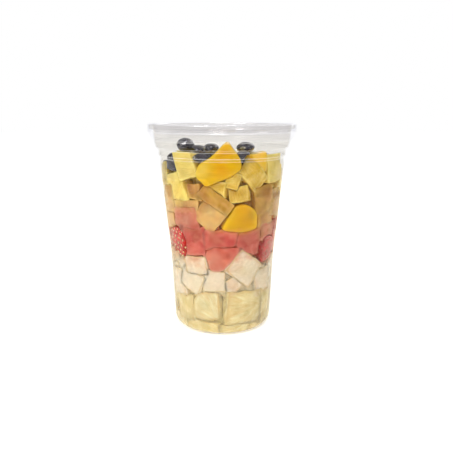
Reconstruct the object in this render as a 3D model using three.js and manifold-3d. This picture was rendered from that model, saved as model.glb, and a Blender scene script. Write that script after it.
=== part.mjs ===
// A clear tapered cup with a flat lid, filled with layers of cut fruit.
// Millimetres, +Z up, origin at the centre of the cup's foot. The front of the cup faces -Y.
import * as THREE from 'three';
import { mergeVertices } from 'three/addons/utils/BufferGeometryUtils.js';
import Module from 'manifold-3d';

const wasm = await Module();
wasm.setup();

// ---------------------------------------------------------------- driving dimensions
const ROUND = 32; // flats round the cup and the lid
const WALL = 0.6; // thickness of the cup's wall
const LID_SHEET = 0.55; // thickness of the lid
const GAP = 0.3; // clearance between pieces that touch

const FOOT_RADIUS = 28.1; // outer edge of the ring that the cup stands on
const FOOT_WIDTH = 2.8;
const FOOT_LIFT = 1.2; // height of the base inside the foot ring
const CORNER_RADIUS = 6; // round between foot and wall
const WALL_FOOT = 34.1; // outer radius where the wall starts, above the corner
const WALL_TOP = 42.1; // outer radius under the stacking rings
const WALL_TOP_HEIGHT = 112;
const WALL_STEPS = 5;

const GROOVE = { radius: 41.5, height: 116.3 };
const LOWER_RING = { radius: 42.75, foot: 118, top: 121.8 };
const UPPER_RING = { foot: 44.5, radius: 45.6, low: 123.1, top: 127.6 };
const NECK = { radius: 46.2, top: 134.6 };
const BEAD = { radius: 48.6, low: 135.3, top: 137.6 };

const LID_RADIUS = 49.5;
const LID_TOP = 138.5;
const LID_EDGE = 0.7; // bevel of its top edges
const LID_BAND_FOOT = 133.2; // where the upright band ends and the skirt turns in
const LID_SKIRT = { radius: 46.75, foot: 128.3 };
const LID_PLUG = { top: 45.6, foot: 44.6 }; // radii of the wall that drops inside the cup
const LID_PANEL = 132.6;
const LID_STEP = { radius: 31, rise: 0.9, run: 1.2 };

const CORE_DEPTH = 9.6; // how far a layer's core stays behind the cup's wall
const CORE_SIDES = 8;
const JITTER = 0.09; // how uneven a cut corner is, as a share of the piece
const WIDE = 17; // a cube wider than this has a front of two facets, which follow the wall
const PRESS = 0.8; // how far a cube's flat front would pass the wall that holds it back
const WELD = 1e-4; // vertices closer than this are one
const MARGIN = 0.45; // how much a piece is grown before it is cut from its neighbours
const SLIMMEST = 1.2; // least distance from a piece's centre to a face that the growth counts

// Heights at which one fruit layer's core gives way to the next, from the floor up.
const LAYER_HEIGHTS = [2.2, 28, 55, 77, 97, 109];

// ---------------------------------------------------------------- the cup's wall
const wallCurve = new THREE.SplineCurve([
  new THREE.Vector2(WALL_FOOT, CORNER_RADIUS),
  new THREE.Vector2(35.1, 26),
  new THREE.Vector2(36.4, 51),
  new THREE.Vector2(39.2, 79),
  new THREE.Vector2(WALL_TOP, WALL_TOP_HEIGHT),
]);
const wallPoints = wallCurve.getPoints(WALL_STEPS);

// Radius of the cup's inside at a height; above the wall the narrow groove limits it.
function insideRadius(height) {
  if (height < CORNER_RADIUS) {
    const inner = CORNER_RADIUS - WALL;
    const drop = Math.min(CORNER_RADIUS - height, inner);
    return FOOT_RADIUS + Math.sqrt(inner ** 2 - drop ** 2);
  }
  const above = wallPoints.findIndex((point) => point.y > height);
  if (above < 1) {
    return GROOVE.radius - WALL;
  }
  const [low, high] = [wallPoints[above - 1], wallPoints[above]];
  const share = (height - low.y) / (high.y - low.y);
  return Math.min(GROOVE.radius, low.x + (high.x - low.x) * share) - WALL;
}

// Largest radius that a piece may reach inside the faceted wall.
function roomRadius(height) {
  return insideRadius(height) * Math.cos(Math.PI / ROUND) - GAP;
}

// ---------------------------------------------------------------- closed meshes
function signedVolume(position, index) {
  const [a, b, c] = [new THREE.Vector3(), new THREE.Vector3(), new THREE.Vector3()];
  let total = 0;
  for (let i = 0; i < index.length; i += 3) {
    a.fromArray(position, index[i] * 3);
    b.fromArray(position, index[i + 1] * 3);
    c.fromArray(position, index[i + 2] * 3);
    total += a.dot(b.cross(c)) / 6;
  }
  return total;
}

function indexed(position, index) {
  const geometry = new THREE.BufferGeometry();
  geometry.setAttribute('position', new THREE.Float32BufferAttribute(position, 3));
  geometry.setIndex(index);
  return geometry;
}

// Shares the vertices of a shape, drops its empty triangles and turns its faces outwards.
function closed(shape) {
  const bare = shape.clone();
  bare.deleteAttribute('normal');
  bare.deleteAttribute('uv');
  const merged = mergeVertices(bare, WELD);
  const position = Array.from(merged.attributes.position.array);
  const source = merged.index.array;
  let index = [];
  for (let i = 0; i < source.length; i += 3) {
    const [a, b, c] = [source[i], source[i + 1], source[i + 2]];
    if (a !== b && b !== c && a !== c) {
      index.push(a, b, c);
    }
  }
  if (signedVolume(position, index) < 0) {
    index = index.reverse();
  }
  return indexed(position, index);
}

function turned(points) {
  const outline = points.map(([radius, height]) => new THREE.Vector2(radius, height));
  return closed(new THREE.LatheGeometry(outline, ROUND).rotateX(Math.PI / 2));
}

// ---------------------------------------------------------------- joining and cutting
function toSolid(geometry) {
  return new wasm.Manifold(new wasm.Mesh({
    numProp: 3,
    vertProperties: Float32Array.from(geometry.attributes.position.array),
    triVerts: Uint32Array.from(geometry.index.array),
  }));
}

// The largest single body of a solid: loose scraps and sealed hollows are left out.
function largestBody(solid) {
  const mesh = solid.getMesh();
  const raw = indexed(Array.from(mesh.vertProperties), Array.from(mesh.triVerts));
  const geometry = closed(raw);
  const position = geometry.attributes.position.array;
  const index = geometry.index.array;
  const parent = Array.from({ length: position.length / 3 }, (_, i) => i);
  const root = (i) => {
    while (parent[i] !== i) {
      parent[i] = parent[parent[i]];
      i = parent[i];
    }
    return i;
  };
  for (let i = 0; i < index.length; i += 3) {
    parent[root(index[i + 1])] = root(index[i]);
    parent[root(index[i + 2])] = root(index[i]);
  }
  const bodies = new Map();
  for (let i = 0; i < index.length; i += 3) {
    const key = root(index[i]);
    const list = bodies.get(key) ?? bodies.set(key, []).get(key);
    list.push(index[i], index[i + 1], index[i + 2]);
  }
  const ranked = [...bodies.values()].map((list) => [signedVolume(position, list), list]);
  ranked.sort((one, other) => other[0] - one[0]);
  return closed(indexed(Array.from(position), ranked[0][1]));
}

// ---------------------------------------------------------------- pieces of fruit
function seeded(seed) {
  let state = seed;
  return () => {
    state = (state * 1664525 + 1013904223) % 4294967296;
    return state / 4294967296;
  };
}

const pieces = []; // every cut piece, the ones that keep their full shape first

// Moves a shape to its place in the cup, pulls it inside the wall and keeps it for joining.
// In the shape's own frame +Z faces out of the cup and +Y is up; roll turns it on the wall.
function place(node, shape, { turn, height, radius, roll = 0, lean = 0, spin = 0 }) {
  const flat = THREE.MathUtils.degToRad;
  const geometry = closed(shape);
  geometry.rotateY(flat(spin)).rotateX(flat(lean)).rotateZ(flat(roll));
  geometry.rotateX(Math.PI / 2);
  geometry.translate(0, -radius, height).rotateZ(flat(turn));
  const position = geometry.attributes.position;
  const centre = new THREE.Vector3();
  for (let i = 0; i < position.count; i += 1) {
    const up = Math.max(position.getZ(i), LAYER_HEIGHTS[0]);
    const out = Math.hypot(position.getX(i), position.getY(i));
    const pull = Math.min(1, roomRadius(up) / out);
    position.setXYZ(i, position.getX(i) * pull, position.getY(i) * pull, up);
    centre.add(new THREE.Vector3().fromBufferAttribute(position, i));
  }
  centre.divideScalar(position.count);
  let reach = 0;
  let slim = Infinity;
  geometry.computeBoundingBox();
  const faces = geometry.index.array;
  const face = new THREE.Triangle();
  const plane = new THREE.Plane();
  for (let i = 0; i < faces.length; i += 3) {
    face.setFromAttributeAndIndices(position, faces[i], faces[i + 1], faces[i + 2]);
    if (face.getArea() > 1) {
      slim = Math.min(slim, Math.abs(face.getPlane(plane).distanceToPoint(centre)));
    }
    reach = Math.max(reach, face.a.distanceTo(centre));
  }
  const grow = 1 + MARGIN / Math.max(slim, SLIMMEST);
  const grown = geometry.clone().translate(-centre.x, -centre.y, -centre.z);
  grown.scale(grow, grow, grow).translate(centre.x, centre.y, centre.z);
  pieces.push({ node, centre, reach: reach * grow, solid: toSolid(geometry), grown: toSolid(grown) });
}

// A knife-cut cube: a box with slightly uneven corners.
function cube(width, tall, deep, random) {
  const box = closed(new THREE.BoxGeometry(width, tall, deep, width > WIDE ? 2 : 1));
  const position = box.attributes.position;
  const uneven = () => 1 + (random() - 0.5) * 2 * JITTER;
  for (let i = 0; i < position.count; i += 1) {
    const [x, y, z] = [position.getX(i), position.getY(i), position.getZ(i)];
    position.setXYZ(i, x * uneven(), y * uneven(), z * uneven());
  }
  return box;
}

// A cube whose front lies against the wall.
function wallCube(node, turn, height, width, tall, deep, roll, random) {
  const radius = insideRadius(height) - deep / 2 + PRESS;
  place(node, cube(width, tall, deep, random), { turn, height, radius, roll });
}

function slab(outline, deep) {
  const shape = new THREE.Shape(outline.map(([x, y]) => new THREE.Vector2(x, y)));
  const body = new THREE.ExtrudeGeometry(shape, { depth: deep, bevelEnabled: false });
  return body.translate(0, 0, -deep / 2);
}

// A strawberry, widest near its shoulder and pointed below.
function strawberry(width, tall, deep) {
  const outline = [[0, -0.5], [0.16, -0.42], [0.34, -0.16], [0.48, 0.16], [0.42, 0.38], [0, 0.48]];
  const points = outline.map(([x, y]) => new THREE.Vector2(x, y));
  return new THREE.LatheGeometry(points, 7).scale(width, tall, deep);
}

// Half a grape: a long ball with a flat cut face on its inner side.
function grapeHalf(length, tall, deep) {
  const [ballRadius, cut] = [0.5, 0.16];
  const ball = closed(new THREE.SphereGeometry(ballRadius, 8, 5).rotateZ(Math.PI / 2));
  const position = ball.attributes.position;
  for (let i = 0; i < position.count; i += 1) {
    position.setZ(i, Math.max(position.getZ(i), -cut));
  }
  return ball.scale(length, tall, deep / (ballRadius + cut));
}

// ---------------------------------------------------------------- what lies where
// Single pieces: turn round the cup from the front, height, radius, then their own lean and roll.
const MANGO_OUTLINE = [
  [5, 15.5], [-3, 7.5], [-12, 1.5], [-15, -5.5], [-8, -12.5], [7, -6.5], [13.7, -1.5], [13.7, 3.5],
];
const CHEEK_OUTLINE = [
  [-12, -6.6], [-3.8, 8.2], [0.2, 9.7], [4.2, 9.2], [9, 6], [12, 1.8], [12.6, -6.6], [6, -8], [0, -8.4],
];
place('mango_slice_top', slab(MANGO_OUTLINE, 10), { turn: -3, height: 113.5, radius: 35.5 });
place('mango_slice_middle', slab(CHEEK_OUTLINE, 12), { turn: 17, height: 80.5, radius: 33.5 });
place('mango_slice_back', slab(MANGO_OUTLINE, 11), { turn: 176, height: 100, radius: 34.5, roll: 24 });
place('mango_slice_side', slab(CHEEK_OUTLINE, 12), { turn: -118, height: 104, radius: 33, roll: 30 });

place('strawberry_left', strawberry(16, 23, 13), { turn: -52, height: 62.5, radius: 32, roll: 14 });
place('strawberry_right', strawberry(20, 21, 15), { turn: 56, height: 56.5, radius: 30.5, roll: -28 });
place('strawberry_back', strawberry(19, 24, 15), { turn: 158, height: 63, radius: 32.5, roll: 40 });

const peachDice = seeded(11);
place('peach_cube', cube(12, 11, 12, peachDice), { turn: 34, height: 115.8, radius: 35, roll: 4 });

// Dark grape halves on top: [turn, height, radius, length, tall, deep, roll, spin].
const GRAPES = [
  [-43.5, 125.7, 33, 9.8, 7.6, 9, -22, 20],
  [-29, 122.8, 29.7, 9, 5, 9, -14, -10],
  [-14.3, 123.6, 27.9, 9.2, 6.2, 9, 4, 10],
  [28.8, 124.2, 29.7, 10, 6, 9, 8, 0],
  [20, 117.6, 37.5, 9.5, 10, 8, 10, 0],
  [-57, 112.6, 37.5, 19, 5.2, 8, -9, 0],
  [-17.5, 118.8, 37.3, 13, 5, 7, 3, 0],
  [-98, 114.6, 31, 12, 8, 9, 15, 30],
  [112, 114.4, 28, 13, 8, 9, -18, 20],
  [-142, 113.6, 27, 12, 8, 9, 12, -20],
  [148, 113, 31, 13, 8, 9, -8, 10],
];
GRAPES.forEach(([turn, height, radius, length, tall, deep, roll, spin], i) => {
  place(`dark_grape_${i + 1}`, grapeHalf(length, tall, deep), { turn, height, radius, roll, spin });
});

// Layers from the floor up. Cubes at the wall: [turn, height, width, tall, deep, roll].
const LAYERS = [
  {
    node: 'bottom_pineapple',
    colour: 0xe8d88c,
    cubes: [
      [-19, 21.3, 20, 20, 16, 0],
      [27, 19, 25, 21, 16, -4],
      [-46.5, 17, 15, 17, 14, 6],
      [58, 16, 15, 21, 14, 5],
      [14, 5.5, 20, 6, 13, 4],
      [-24, 6, 20, 8, 13, -6],
    ],
    rows: [[15.5, 22]],
  },
  {
    node: 'white_melon',
    colour: 0xece0cc,
    cubes: [
      [24.5, 46.7, 20, 17, 14, -36],
      [-29, 49.5, 16, 12, 14, 5],
      [-35, 37.5, 17, 14, 14, -24],
      [-57, 34, 14, 17, 14, 8],
      [-8.5, 39, 14, 13, 14, 0],
      [12, 35, 10, 9, 14, 36],
      [50, 35.5, 15, 16, 14, 6],
      [68, 42, 12, 16, 14, -6],
    ],
    rows: [[34.5, 16], [47.5, 15]],
  },
  {
    node: 'red_melon',
    colour: 0xd86a62,
    cubes: [
      [-30.5, 64, 15.5, 20, 14, 0],
      [2, 54.5, 21, 16, 14, 4],
      [-4, 67, 22, 13, 14, 0],
      [26, 65, 15, 15, 14, -8],
      [-38, 80, 18, 14, 14, 10],
      [50, 70, 12, 10, 14, 0],
    ],
    rows: [[60.5, 17], [73, 16]],
  },
  {
    node: 'golden_peach',
    colour: 0xd2aa6a,
    cubes: [
      [-6.5, 92, 23, 8, 14, -36],
      [-12, 81.5, 15, 14, 13, -36],
      [44, 92, 15, 16, 14, 10],
      [63, 88, 13, 17, 14, -6],
      [46, 76, 13, 15, 14, 6],
      [-62, 90, 12, 17, 14, 5],
      [-25, 97, 9, 9, 14, 0],
    ],
    rows: [[87, 17]],
  },
  {
    node: 'yellow_pineapple',
    colour: 0xeed67a,
    cubes: [
      [-34, 114, 14, 17, 15, 20],
      [-44.5, 99.5, 15.5, 18, 15, 20],
      [-1, 98.5, 9.5, 8.5, 13, -12],
      [12.5, 104, 8, 10.5, 13, -20],
      [18.5, 95.5, 12.5, 9, 13, 8],
      [30.5, 106, 17, 13, 14, -48],
      [55, 110, 16, 18, 14, 0],
      [-68, 106, 11, 15, 14, 8],
      [72, 102, 12, 14, 14, -10],
    ],
    rows: [[102, 16]],
  },
];

// The cubes that are placed by hand keep their shape; the rule fills the rest of the circle.
const FREE_FROM = 76;
const FREE_TO = 286;
const RULE_DEEP = 13;
const RULE_ROLL = 24; // widest range of a cube's roll, in degrees
const RULE_RISE = 3; // and of its height
LAYERS.forEach(({ node, cubes }, layer) => {
  const random = seeded(100 + layer);
  cubes.forEach(([turn, height, width, tall, deep, roll]) => {
    wallCube(node, turn, height, width, tall, deep, roll, random);
  });
});
LAYERS.forEach(({ node, rows }, layer) => {
  const random = seeded(200 + layer);
  rows.forEach(([height, size], row) => {
    const across = THREE.MathUtils.radToDeg(size / insideRadius(height));
    const count = Math.floor((FREE_TO - FREE_FROM) / across);
    const step = (FREE_TO - FREE_FROM) / count;
    for (let i = 0; i < count; i += 1) {
      const turn = FREE_FROM + (i + 0.5 * (row % 2) + 0.2 * random()) * step;
      const width = size * (0.78 + 0.24 * random());
      const tall = size * (0.72 + 0.2 * random());
      const level = height + (random() - 0.5) * RULE_RISE;
      const roll = (random() - 0.5) * RULE_ROLL;
      wallCube(node, turn, level, width, tall, RULE_DEEP, roll, random);
    }
  });
});

// The top of the heap: cubes spread by the golden angle, lower towards the back.
// Three cubes near the front carry the grapes: [turn, height, radius].
const TOP_SUPPORTS = [[-42, 115.5, 28], [-14, 113.5, 25], [27, 114.5, 27]];
const SUPPORT_SIZE = 12.5;
const TOP_CUBES = 6;
const TOP_SPREAD = 7.4; // distance from the axis of the first cube of the spiral
const GOLDEN_ANGLE = 137.5;
const TOP_HEIGHT = 107.4; // at the axis
const TOP_FALL = 0.12; // how much lower the heap is for each millimetre towards the back
const topRandom = seeded(31);
TOP_SUPPORTS.forEach(([turn, height, radius]) => {
  const support = cube(SUPPORT_SIZE, SUPPORT_SIZE, SUPPORT_SIZE, topRandom);
  place('yellow_pineapple', support, { turn, height, radius });
});
for (let i = 0; i < TOP_CUBES; i += 1) {
  const radius = TOP_SPREAD * Math.sqrt(i + 0.4);
  const turn = i * GOLDEN_ANGLE;
  const back = -Math.cos(THREE.MathUtils.degToRad(turn)) * radius;
  const height = TOP_HEIGHT - TOP_FALL * back + topRandom() * 3;
  const size = 11 + 4 * topRandom();
  const roll = topRandom() * 40;
  place('yellow_pineapple', cube(size, size, size, topRandom), { turn, height, radius, roll });
}

// Each layer's core: a plug of fruit flesh behind the cubes, from one layer height to the next.
LAYERS.forEach(({ node }, layer) => {
  const [low, high] = [LAYER_HEIGHTS[layer], LAYER_HEIGHTS[layer + 1] - GAP];
  const [wide, narrow] = [insideRadius(high) - CORE_DEPTH, insideRadius(low) - CORE_DEPTH];
  const plug = new THREE.CylinderGeometry(wide, narrow, high - low, CORE_SIDES);
  place(node, plug, { turn: 0, height: (low + high) / 2, radius: 0 });
});

// ---------------------------------------------------------------- joining each node's pieces
const solids = new Map();
pieces.forEach((piece, i) => {
  let solid = piece.solid;
  pieces.slice(0, i).forEach((other) => {
    const near = other.centre.distanceTo(piece.centre) < other.reach + piece.reach;
    if (other.node !== piece.node && near) {
      solid = solid.subtract(other.grown);
    }
  });
  const joined = solids.get(piece.node);
  solids.set(piece.node, joined ? joined.add(solid) : solid);
});

// ---------------------------------------------------------------- cup and lid
function cupProfile() {
  const corner = [0.25, 0.6, 1].map((share) => {
    const angle = (share * Math.PI) / 2;
    return [
      FOOT_RADIUS + CORNER_RADIUS * Math.sin(angle),
      CORNER_RADIUS * (1 - Math.cos(angle)),
    ];
  });
  const inside = [...wallPoints].reverse().map((point) => [point.x - WALL, point.y]);
  const innerCorner = [0.62, 0.3].map((share) => {
    const angle = (share * Math.PI) / 2;
    const inner = CORNER_RADIUS - WALL;
    return [FOOT_RADIUS + inner * Math.sin(angle), CORNER_RADIUS - inner * Math.cos(angle)];
  });
  const floor = FOOT_LIFT + WALL;
  return [
    [0, FOOT_LIFT],
    [FOOT_RADIUS - FOOT_WIDTH - FOOT_LIFT, FOOT_LIFT],
    [FOOT_RADIUS - FOOT_WIDTH, 0],
    [FOOT_RADIUS, 0],
    ...corner,
    ...wallPoints.slice(1).map((point) => [point.x, point.y]),
    [GROOVE.radius, GROOVE.height],
    [LOWER_RING.radius, LOWER_RING.foot],
    [LOWER_RING.radius, LOWER_RING.top],
    [UPPER_RING.foot, UPPER_RING.low],
    [UPPER_RING.radius, UPPER_RING.top],
    [NECK.radius, NECK.top],
    [BEAD.radius, BEAD.low],
    [BEAD.radius, BEAD.top - WALL],
    [BEAD.radius - WALL, BEAD.top],
    [NECK.radius, BEAD.top],
    [NECK.radius - WALL, NECK.top],
    [UPPER_RING.radius - WALL, UPPER_RING.top],
    [UPPER_RING.foot - WALL, UPPER_RING.low + WALL],
    [LOWER_RING.radius - WALL, LOWER_RING.top + WALL],
    [LOWER_RING.radius - WALL, LOWER_RING.foot + WALL / 2],
    [GROOVE.radius - WALL, GROOVE.height + WALL / 2],
    ...inside,
    ...innerCorner,
    [FOOT_RADIUS - FOOT_WIDTH, floor],
    [0, floor],
  ];
}

function lidProfile() {
  const inner = LID_RADIUS - LID_SHEET;
  const step = LID_STEP.radius + LID_STEP.run;
  return [
    [0, LID_PANEL + LID_STEP.rise],
    [LID_STEP.radius, LID_PANEL + LID_STEP.rise],
    [step, LID_PANEL],
    [LID_PLUG.foot - LID_SHEET, LID_PANEL],
    [LID_PLUG.top - LID_SHEET, LID_TOP - LID_EDGE],
    [LID_PLUG.top + LID_SHEET, LID_TOP],
    [LID_RADIUS - LID_EDGE, LID_TOP],
    [LID_RADIUS, LID_TOP - LID_EDGE],
    [LID_RADIUS, LID_BAND_FOOT],
    [LID_SKIRT.radius, LID_SKIRT.foot],
    [LID_SKIRT.radius - LID_SHEET, LID_SKIRT.foot + LID_SHEET / 2],
    [inner, LID_BAND_FOOT + LID_SHEET / 2],
    [inner, LID_TOP - LID_SHEET],
    [LID_PLUG.top, LID_TOP - LID_SHEET],
    [LID_PLUG.foot, LID_PANEL - LID_SHEET],
    [step, LID_PANEL - LID_SHEET],
    [LID_STEP.radius, LID_PANEL + LID_STEP.rise - LID_SHEET],
    [0, LID_PANEL + LID_STEP.rise - LID_SHEET],
  ];
}

// ---------------------------------------------------------------- the finished cup of fruit
const fruitCup = new THREE.Group();

function add(name, geometry, color, roughness, look = {}) {
  const material = new THREE.MeshStandardMaterial({ color, roughness, metalness: 0, ...look });
  const mesh = new THREE.Mesh(geometry, material);
  mesh.name = name;
  fruitCup.add(mesh);
}

const CLEAR = { transparent: true, opacity: 0.3 };
add('cup', turned(cupProfile()), 0xe6e4e6, 0.1, CLEAR);
add('lid', turned(lidProfile()), 0xe4e2e6, 0.12, CLEAR);

const COLOURS = { mango: 0xecb81e, strawberry: 0xd0323a, peach: 0xf0b45a, dark: 0x3a2c40 };
for (const [node, solid] of solids) {
  const layer = LAYERS.find((entry) => entry.node === node);
  const kind = node.split('_')[0];
  add(node, largestBody(solid), layer ? layer.colour : COLOURS[kind], 0.35);
}

export default fruitCup;
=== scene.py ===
"""A clear cup of cut fruit with its lid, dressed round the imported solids.

Shapes are worked out in millimetres with numpy and put into meshes in metres. +Z is up and the front of
the cup faces -Y. Every piece of fruit is shaped in a frame of its own, with +Z facing out of the cup and
+Y up, and is then turned to its place and pressed against the inside of the wall.
"""

import functools
import math

import bpy
import numpy as np
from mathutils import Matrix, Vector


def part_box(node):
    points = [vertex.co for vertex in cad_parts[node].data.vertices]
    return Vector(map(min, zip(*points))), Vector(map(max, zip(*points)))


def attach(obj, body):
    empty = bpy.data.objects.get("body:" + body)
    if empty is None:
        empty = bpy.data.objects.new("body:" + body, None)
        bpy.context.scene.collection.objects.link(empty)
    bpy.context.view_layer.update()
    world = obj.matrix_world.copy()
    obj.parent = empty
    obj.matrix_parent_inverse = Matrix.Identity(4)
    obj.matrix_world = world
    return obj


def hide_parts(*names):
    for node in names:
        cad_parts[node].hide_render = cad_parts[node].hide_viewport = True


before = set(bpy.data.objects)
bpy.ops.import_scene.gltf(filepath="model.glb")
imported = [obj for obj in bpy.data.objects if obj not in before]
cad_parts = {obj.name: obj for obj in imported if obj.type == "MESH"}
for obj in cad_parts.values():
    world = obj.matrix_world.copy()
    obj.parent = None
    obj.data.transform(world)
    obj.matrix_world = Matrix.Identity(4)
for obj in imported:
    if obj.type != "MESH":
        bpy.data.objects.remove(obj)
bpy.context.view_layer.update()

bl_info = {
    "name": "Fruit cup",
    "version": (1, 0, 0),
    "blender": (4, 5, 0),
    "location": "3D View > Sidebar > Fruit cup",
    "description": "Builds a clear lidded cup filled with layers of cut fruit",
    "category": "Add Mesh",
}

MM = 0.001
BODY = "root"

# ---------------------------------------------------------------- the cup's own sizes, in millimetres
CUP_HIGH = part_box("cup")[1]
LID_LOW, LID_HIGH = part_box("lid")
BEAD_RADIUS = CUP_HIGH.x / MM
LID_RADIUS = LID_HIGH.x / MM
LID_TOP = LID_HIGH.z / MM
SKIRT_FOOT = LID_LOW.z / MM

WALL = 0.6
LID_SHEET = 0.55
FOOT_RADIUS = 28.1
FOOT_WIDTH = 2.8
FOOT_LIFT = 1.2
CORNER_RADIUS = 6
GROOVE_RADIUS = 41.5
# Radius and height of the wall from its corner up, then of the bends of the rings and the rim above it.
WALL_LINE = np.array([[34.1, 6], [35.1, 26], [36.4, 51], [39.2, 79], [42.1, 112]])
RING_LINE = np.array(
    [[GROOVE_RADIUS, 116.3], [42.75, 118], [42.75, 121.8], [44.5, 123.1], [45.6, 127.6], [46.2, 134.6]]
)
RING_LIFT = np.array([0.5, 0.5, 1, 1, 0, 0])  # by how many walls each bend is higher inside the cup
BEAD_FOOT = 135.3
WALL_STEPS = 5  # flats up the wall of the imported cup, which the fruit was laid out against
FLOOR = FOOT_LIFT + WALL
NEAR_FLOOR = 0.1  # how far fruit stays above the floor and how far the juice reaches into it


def srgb(red, green, blue):
    """A colour given from 0 to 255 as screens show it, as the linear values that shaders use."""
    share = np.array([red, green, blue]) / 255
    return tuple(np.where(share <= 0.04045, share / 12.92, ((share + 0.055) / 1.055) ** 2.4))


def catmull_rom(points, share):
    """A smooth line through points, at shares of its length from 0 to 1.

    Between two points it is the cubic whose slope at each of them is half the step between its neighbours.
    """
    last = len(points) - 1
    place = np.asarray(share) * last
    low = np.minimum(place.astype(int), last)
    part = (place - low)[:, None]
    before, start = points[np.maximum(low - 1, 0)], points[low]
    end, after = points[np.minimum(low + 1, last)], points[np.minimum(low + 2, last)]
    leave, arrive = (end - before) / 2, (after - start) / 2
    cubic = (2 * start - 2 * end + leave + arrive) * part**3
    square = (3 * end - 3 * start - 2 * leave - arrive) * part**2
    return cubic + square + leave * part + start


FLAT_WALL = catmull_rom(WALL_LINE, np.linspace(0, 1, WALL_STEPS + 1))
SMOOTH_WALL = catmull_rom(WALL_LINE, np.linspace(0, 1, 49))


def inside_radius(height, wall=SMOOTH_WALL):
    """Radius of the cup's inside: a quarter circle below the corner, then the wall's line."""
    height = np.asarray(height, float)
    inner = CORNER_RADIUS - WALL
    drop = np.clip(CORNER_RADIUS - height, 0, inner)
    corner = FOOT_RADIUS + np.sqrt(inner**2 - drop**2)
    upright = np.minimum(np.interp(height, wall[:, 1], wall[:, 0]), GROOVE_RADIUS) - WALL
    upright = np.where(height > wall[-1, 1], GROOVE_RADIUS - WALL, upright)
    return np.where(height < CORNER_RADIUS, corner, upright)


# ---------------------------------------------------------------- sizes and colours that a user may change
def amount(name, description, default, **more):
    return bpy.props.FloatProperty(name=name, description=description, default=default, **more)


def length(name, description, metres):
    return amount(name, description, metres, unit="LENGTH", precision=4)


def angular(name, description, degrees):
    return amount(name, description, math.radians(degrees), subtype="ANGLE")


def colour(name, description, *screen):
    return bpy.props.FloatVectorProperty(
        name=name, description=description, default=srgb(*screen), subtype="COLOR", size=3, min=0, max=1
    )


class CupSizes(bpy.types.PropertyGroup):
    """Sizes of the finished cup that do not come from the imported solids."""

    juice_level: length("Juice level", "Height of the juice above the table", 0.103)
    contact: length("Contact", "How far pressed fruit reaches into the wall", 0.0001)
    juice_contact: length("Juice contact", "How far the juice reaches into the wall", 0.0002)
    fillet: length("Fillet", "Rounding of the formed plastic's corners", 0.0004)
    segments: bpy.props.IntProperty(
        name="Segments", description="Faces round the cup and the lid", default=176, min=32
    )


class FruitColours(bpy.types.PropertyGroup):
    """The tones of fruit flesh, named for the pieces that have them."""

    straw: colour("Straw", "Pale pineapple at the bottom", 238, 227, 170)
    cream_pineapple: colour("Cream pineapple", "The palest bottom slice", 251, 250, 220)
    cream: colour("Cream", "White melon", 238, 223, 214)
    milk: colour("Milk", "The whitest melon", 252, 245, 238)
    blush: colour("Blush", "White melon beside the red layer", 234, 200, 182)
    rose: colour("Rose", "Red melon", 204, 80, 82)
    salmon: colour("Salmon", "The lightest red melon", 220, 118, 96)
    dusky: colour("Dusky rose", "Red melon deep in its juice", 170, 80, 76)
    rosy: colour("Rosy tan", "Red melon that lies among the peach", 172, 110, 90)
    gold: colour("Gold", "Peach in juice", 178, 134, 32)
    tan: colour("Tan", "The darker peach", 166, 126, 58)
    sand: colour("Sand", "The palest peach", 224, 190, 132)
    yellow: colour("Yellow", "Pineapple at the top", 248, 226, 122)
    honey: colour("Honey", "Small pineapple cubes", 224, 184, 60)
    mango: colour("Mango", "Mango flesh", 234, 190, 0)
    mango_deep: colour("Deep mango", "Mango flesh near its skin", 228, 160, 0)
    # painted highlight: the pale tone that the mango's cut edges are lightened towards
    mango_edge_highlight: colour("Pale mango", "Mango flesh along its cut edges", 240, 206, 60)
    orange: colour("Orange", "The orange cube at the top", 255, 208, 34)
    olive: colour("Olive", "Pineapple in the shade at the cup's side", 168, 142, 10)
    umber: colour("Umber", "Shaded hollows among the peach", 142, 100, 62)
    green: colour("Green", "Flesh next to its rind", 206, 214, 158)
    strawberry: colour("Strawberry", "Strawberry skin", 202, 14, 18)
    crimson: colour("Crimson", "The darker strawberry's skin", 192, 10, 34)
    seed: colour("Seed", "Strawberry seeds", 250, 232, 190)
    dark_seed: colour("Dark seed", "Seeds of the darker strawberry", 190, 92, 70)
    grape: colour("Grape", "Dark grape skin", 34, 28, 44)
    grape_bloom: colour("Grape bloom", "The bluish cast on a grape's skin", 74, 70, 92)
    grape_flesh: colour("Grape flesh", "Where a grape was on its stem", 128, 134, 96)
    cup_clear: colour("Cup plastic", "What one face of the cup lets through", 247, 246, 244)
    lid_clear: colour("Lid plastic", "What one face of the lid lets through", 254, 254, 255)
    sheen: colour("Sheen", "What the plastic mirrors", 250, 250, 250)


class StageSettings(bpy.types.PropertyGroup):
    """The camera and the lights."""

    distance: length("Distance", "From the cup's axis to the camera", 0.33575)
    camera_height: length("Height", "The camera's height above the table", 0.145)
    lens: amount("Lens", "Focal length", 39.05, unit="CAMERA")
    pitch: angular("Pitch", "How far the camera looks down", 12.99)
    yaw: angular("Yaw", "How far it looks past the axis", 0.5)
    backdrop: amount("Backdrop", "How bright the room looks", 1.0)
    surround: amount("Surround", "Light from all round", 0.46)
    mirrored: amount("Mirrored", "The room in reflections", 0.5)
    sun: amount("Daylight", "Soft light from the front left", 0.5)
    sun_height: angular("Daylight height", "Its height in the sky", 38)
    sun_side: angular("Daylight side", "How far left of the front it is", 35)
    sun_spread: angular("Daylight spread", "How wide it is", 60)
    key: amount("Key", "Lamp at the front left", 2.6)
    top: amount("Top", "Lamp above", 2.4)
    rear: amount("Rear", "Lamp behind, at the right", 1.2)


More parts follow.
